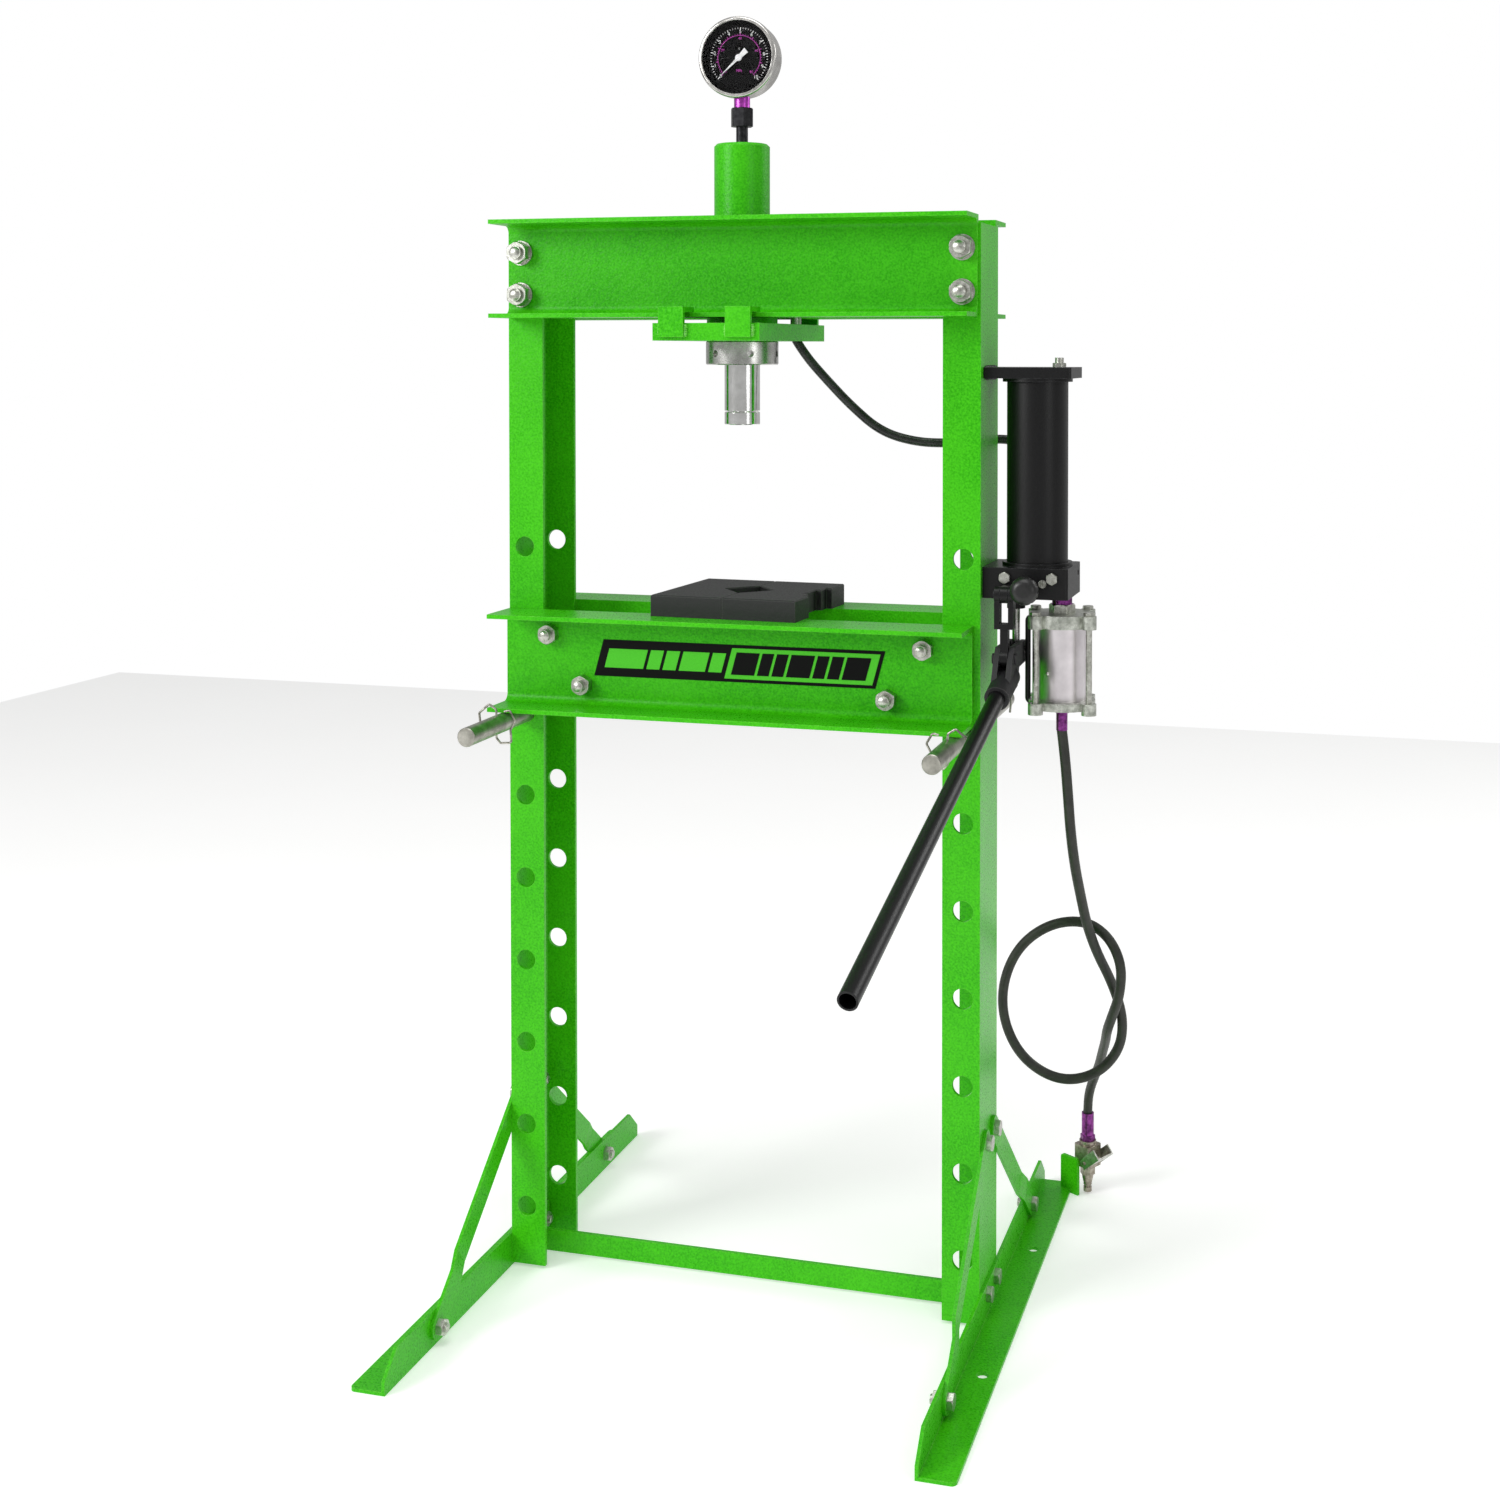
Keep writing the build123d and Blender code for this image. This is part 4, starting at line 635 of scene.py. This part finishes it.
def tickAt(degrees, r0, r1, halfWidth):
    # a bar on one radius of the dial, from r0 to r1, as wide as twice its half width
    turn = math.radians(degrees)
    across = np.array([-math.sin(turn), 0, math.cos(turn)]) * halfWidth
    a, b = dialPoint(r0, degrees), dialPoint(r1, degrees)
    return flatMark([a - across, b - across, b + across, a + across], np.array([0, -scaleLook["lift"], 0]))


def arcBand(radius, halfWidth, start, sweep, count=90):
    # a ring band: two arcs of nearly the same radius, joined
    angles = np.linspace(start, start - sweep, count)
    outer = [dialPoint(radius + halfWidth, a) for a in angles]
    inner = [dialPoint(radius - halfWidth, a) for a in angles[::-1]]
    lift = np.array([0, -scaleLook["lift"], 0])
    rim = np.array(outer + inner)
    points = np.vstack([rim, rim + lift])
    total = len(rim)
    j = np.arange(total)
    k = (j + 1) % total
    faces = np.stack([j, k, k + total, j + total], 1).tolist()
    i = np.arange(count - 1)
    top = np.stack([i, i + 1, total - 2 - i, total - 1 - i], 1)
    return points, faces + top[:, ::-1].tolist() + (top + total).tolist()


whiteMarks, pinkMarks = [], []
whole = scaleLook["major"] * scaleLook["minor"]
for k in range(whole + 1):
    degrees = scaleLook["start"] - scaleLook["sweep"] * k / whole
    long = k % scaleLook["minor"] == 0
    reach = scaleLook["tick"] * (1 if long else 0.55)
    whiteMarks.append(tickAt(degrees, scaleLook["outer"] - reach, scaleLook["outer"], (0.5 if long else 0.28) * mm))
for k in range(41):
    degrees = scaleLook["start"] - scaleLook["sweep"] * k / 40
    long = k % 5 == 0
    reach = scaleLook["innerTick"] * (1.2 if long else 0.7)
    halfWidth = (0.35 if long else 0.2) * mm
    pinkMarks.append(tickAt(degrees, scaleLook["innerRing"], scaleLook["innerRing"] + reach, halfWidth))
pinkMarks.append(arcBand(scaleLook["innerRing"], 0.3 * mm, scaleLook["start"], scaleLook["sweep"]))


def textMarks(words, size, place):
    # a short word or number on the dial, turned to face the front, as (points, faces)
    curve = bpy.data.curves.new("dialWord", "FONT")
    curve.body = words
    curve.size = size
    curve.align_x = "CENTER"
    curve.align_y = "CENTER"
    curve.extrude = scaleLook["lift"] / 2
    curve.resolution_u = 3
    holder = bpy.data.objects.new("dialWord", curve)
    bpy.context.scene.collection.objects.link(holder)
    bpy.context.view_layer.update()
    flat = bpy.data.meshes.new_from_object(holder.evaluated_get(bpy.context.evaluated_depsgraph_get()))
    count = len(flat.vertices)
    local = np.empty(count * 3)
    flat.vertices.foreach_get("co", local)
    local = local.reshape(-1, 3)
    points = np.stack([place[0] + local[:, 0], place[1] - scaleLook["lift"] / 2 - local[:, 2], place[2] + local[:, 1]], 1)
    faces = [list(p.vertices) for p in flat.polygons]
    bpy.data.objects.remove(holder)
    bpy.data.meshes.remove(flat)
    return points, faces


for k in range(scaleLook["major"] + 1):
    degrees = scaleLook["start"] - scaleLook["sweep"] * k / scaleLook["major"]
    whiteMarks.append(textMarks(str(k), scaleLook["numberSize"], dialPoint(scaleLook["number"] + 0.8 * mm, degrees)))
for k in range(0, 9, 2):
    degrees = scaleLook["start"] - scaleLook["sweep"] * k / 8
    place = dialPoint(scaleLook["innerRing"] - 3.6 * mm, degrees)
    pinkMarks.append(textMarks(str(k * 10), scaleLook["numberSize"] * 0.72, place))
whiteMarks.append(textMarks("t", 4.2 * mm, dialPoint(11 * mm, 90)))
pinkMarks.append(textMarks("MPa", 4.2 * mm, dialPoint(15 * mm, -90)))
for name, marks, ink in (("dialWhiteMarks", whiteMarks, whiteInk), ("dialPinkMarks", pinkMarks, pinkInk)):
    points, faces = joined(marks)
    placePiece(name, meshFrom(name, points, faces, False), ink, "frame")
print("gauge printed")


# Hose routes, as the hoses hang, in millimetres
hydraulicHose = {"diameter": 11 * mm, "length": 0.466, "start": (44, 40, 1124), "end": (345, 66, 876), "route": [
    (55, 43, 1105), (80, 48.5, 1076), (108, 56, 1045), (143, 63, 1014), (184, 68, 1001.5), (226, 73, 1000),
    (262, 82, 1004), (300, 90, 1006), (332, 92, 988), (350, 87, 957), (351, 78, 922), (347, 69, 897)]}
airHose = {"diameter": 12 * mm, "length": 1.293, "start": (374, 5, 677), "end": (354.1, 332.7, 107), "route": [
    (377.5, 5.5, 648), (380.5, 8, 606), (382.5, 16, 558), (384.5, 36, 512), (387, 62, 472), (390.5, 84, 433),
    (399, 108, 392), (413, 138, 348), (426, 150, 302), (421, 156, 259), (391, 157, 224), (346, 156, 213),
    (302, 153, 236), (278, 150, 280), (276, 147, 330), (297, 141, 380), (336, 134, 413), (380, 126, 424),
    (412, 113, 412), (430, 105, 381), (427, 109, 342), (415, 127, 309), (405, 155, 282), (398, 192, 256),
    (388, 234, 226), (378, 272, 194), (368, 302, 168), (359, 322, 144), (354.6, 331, 124)]}


def hoseCurve(name, hose, material, replaced):
    curve = bpy.data.curves.new(name, "CURVE")
    curve.dimensions = "3D"
    curve.bevel_depth = hose["diameter"] / 2
    curve.bevel_resolution = 7
    curve.resolution_u = 12
    curve.use_fill_caps = True
    spline = curve.splines.new("NURBS")
    points = [tuple(c * mm for c in p) for p in [hose["start"]] + hose["route"] + [hose["end"]]]
    spline.points.add(len(points) - 1)
    spline.points.foreach_set("co", [c for p in points for c in (*p, 1.0)])
    spline.order_u = 3
    spline.use_endpoint_u = True
    curve.materials.append(material)
    piece = bpy.data.objects.new(name, curve)
    bpy.context.scene.collection.objects.link(piece)
    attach(piece, "frame")
    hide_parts(replaced)
    return piece


hoseCurve("hydraulicHoseLine", hydraulicHose, hydraulicRubber, "hydraulic_hose")
hoseCurve("airHoseLine", airHose, airRubber, "air_hose")
print("hoses hung")


studio = {"floorSize": 7, "floorColour": "#F6F6F5", "worldSeen": 1.0, "worldLight": 0.46, "floorGlow": 0.3,
          "lights": [("keyLight", (-2.9, -3.1, 2.5), 1.8, 112), ("fillLight", (3.4, -2.2, 1.5), 1.2, 11),
                     ("topLight", (0.2, -1.0, 3.8), 2.2, 40), ("rimLight", (2.6, 2.4, 2.4), 1.4, 22)],
          "aim": (0.0, 0.0, 0.85)}

floorMesh = bpy.data.meshes.new("studioFloor")
half = studio["floorSize"] / 2
floorMesh.from_pydata([(-half, -half, 0), (half, -half, 0), (half, half, 0), (-half, half, 0)], [], [(0, 1, 2, 3)])
floor = bpy.data.objects.new("studioFloor", floorMesh)
bpy.context.scene.collection.objects.link(floor)
floorMaterial, floorTree, floorShader = newMaterial("paleStudioFloor", {"Roughness": 0.9})
floorSpeck = noiseOf(floorTree, objectPoint(floorTree), 400, 2)
floorTree.links.new(blendColours(floorTree, floorSpeck, hexColour("#F3F3F2"), hexColour(studio["floorColour"])),
                    floorShader.inputs["Base Color"])
floorShader.inputs["Emission Color"].default_value = (1, 1, 1, 1)
floorShader.inputs["Emission Strength"].default_value = studio["floorGlow"]
floorMesh.materials.append(floorMaterial)

world = bpy.data.worlds.new("softWhiteRoom")
world.use_nodes = True
bpy.context.scene.world = world
worldTree = world.node_tree
background = worldTree.nodes["Background"]
background.inputs["Color"].default_value = (1, 1, 1, 1)
seen = addNode(worldTree, "LightPath")
worldTree.links.new(rangeOf(worldTree, seen.outputs["Is Camera Ray"], 0, 1, studio["worldLight"], studio["worldSeen"]),
                    background.inputs["Strength"])

for name, place, size, power in studio["lights"]:
    lamp = bpy.data.lights.new(name, "AREA")
    lamp.size = size
    lamp.energy = power
    holder = bpy.data.objects.new(name, lamp)
    holder.location = place
    holder.rotation_euler = (Vector(studio["aim"]) - Vector(place)).to_track_quat("-Z", "Y").to_euler()
    bpy.context.scene.collection.objects.link(holder)

cameraSettings = {"place": (0.74063, -2.14982, 1.11167), "turn": (math.pi / 2 - 0.0203, -0.0006, 0.2622),
                  "lens": 45.83, "shift": (-0.0889, -0.2409)}
cameraData = bpy.data.cameras.new("studioCamera")
cameraData.sensor_width = 36
cameraData.lens = cameraSettings["lens"]
cameraData.shift_x, cameraData.shift_y = cameraSettings["shift"]
camera = bpy.data.objects.new("studioCamera", cameraData)
camera.location = cameraSettings["place"]
camera.rotation_euler = cameraSettings["turn"]
bpy.context.scene.collection.objects.link(camera)
bpy.context.scene.camera = camera
bpy.context.scene.view_settings.view_transform = "Standard"
print("studio lit")
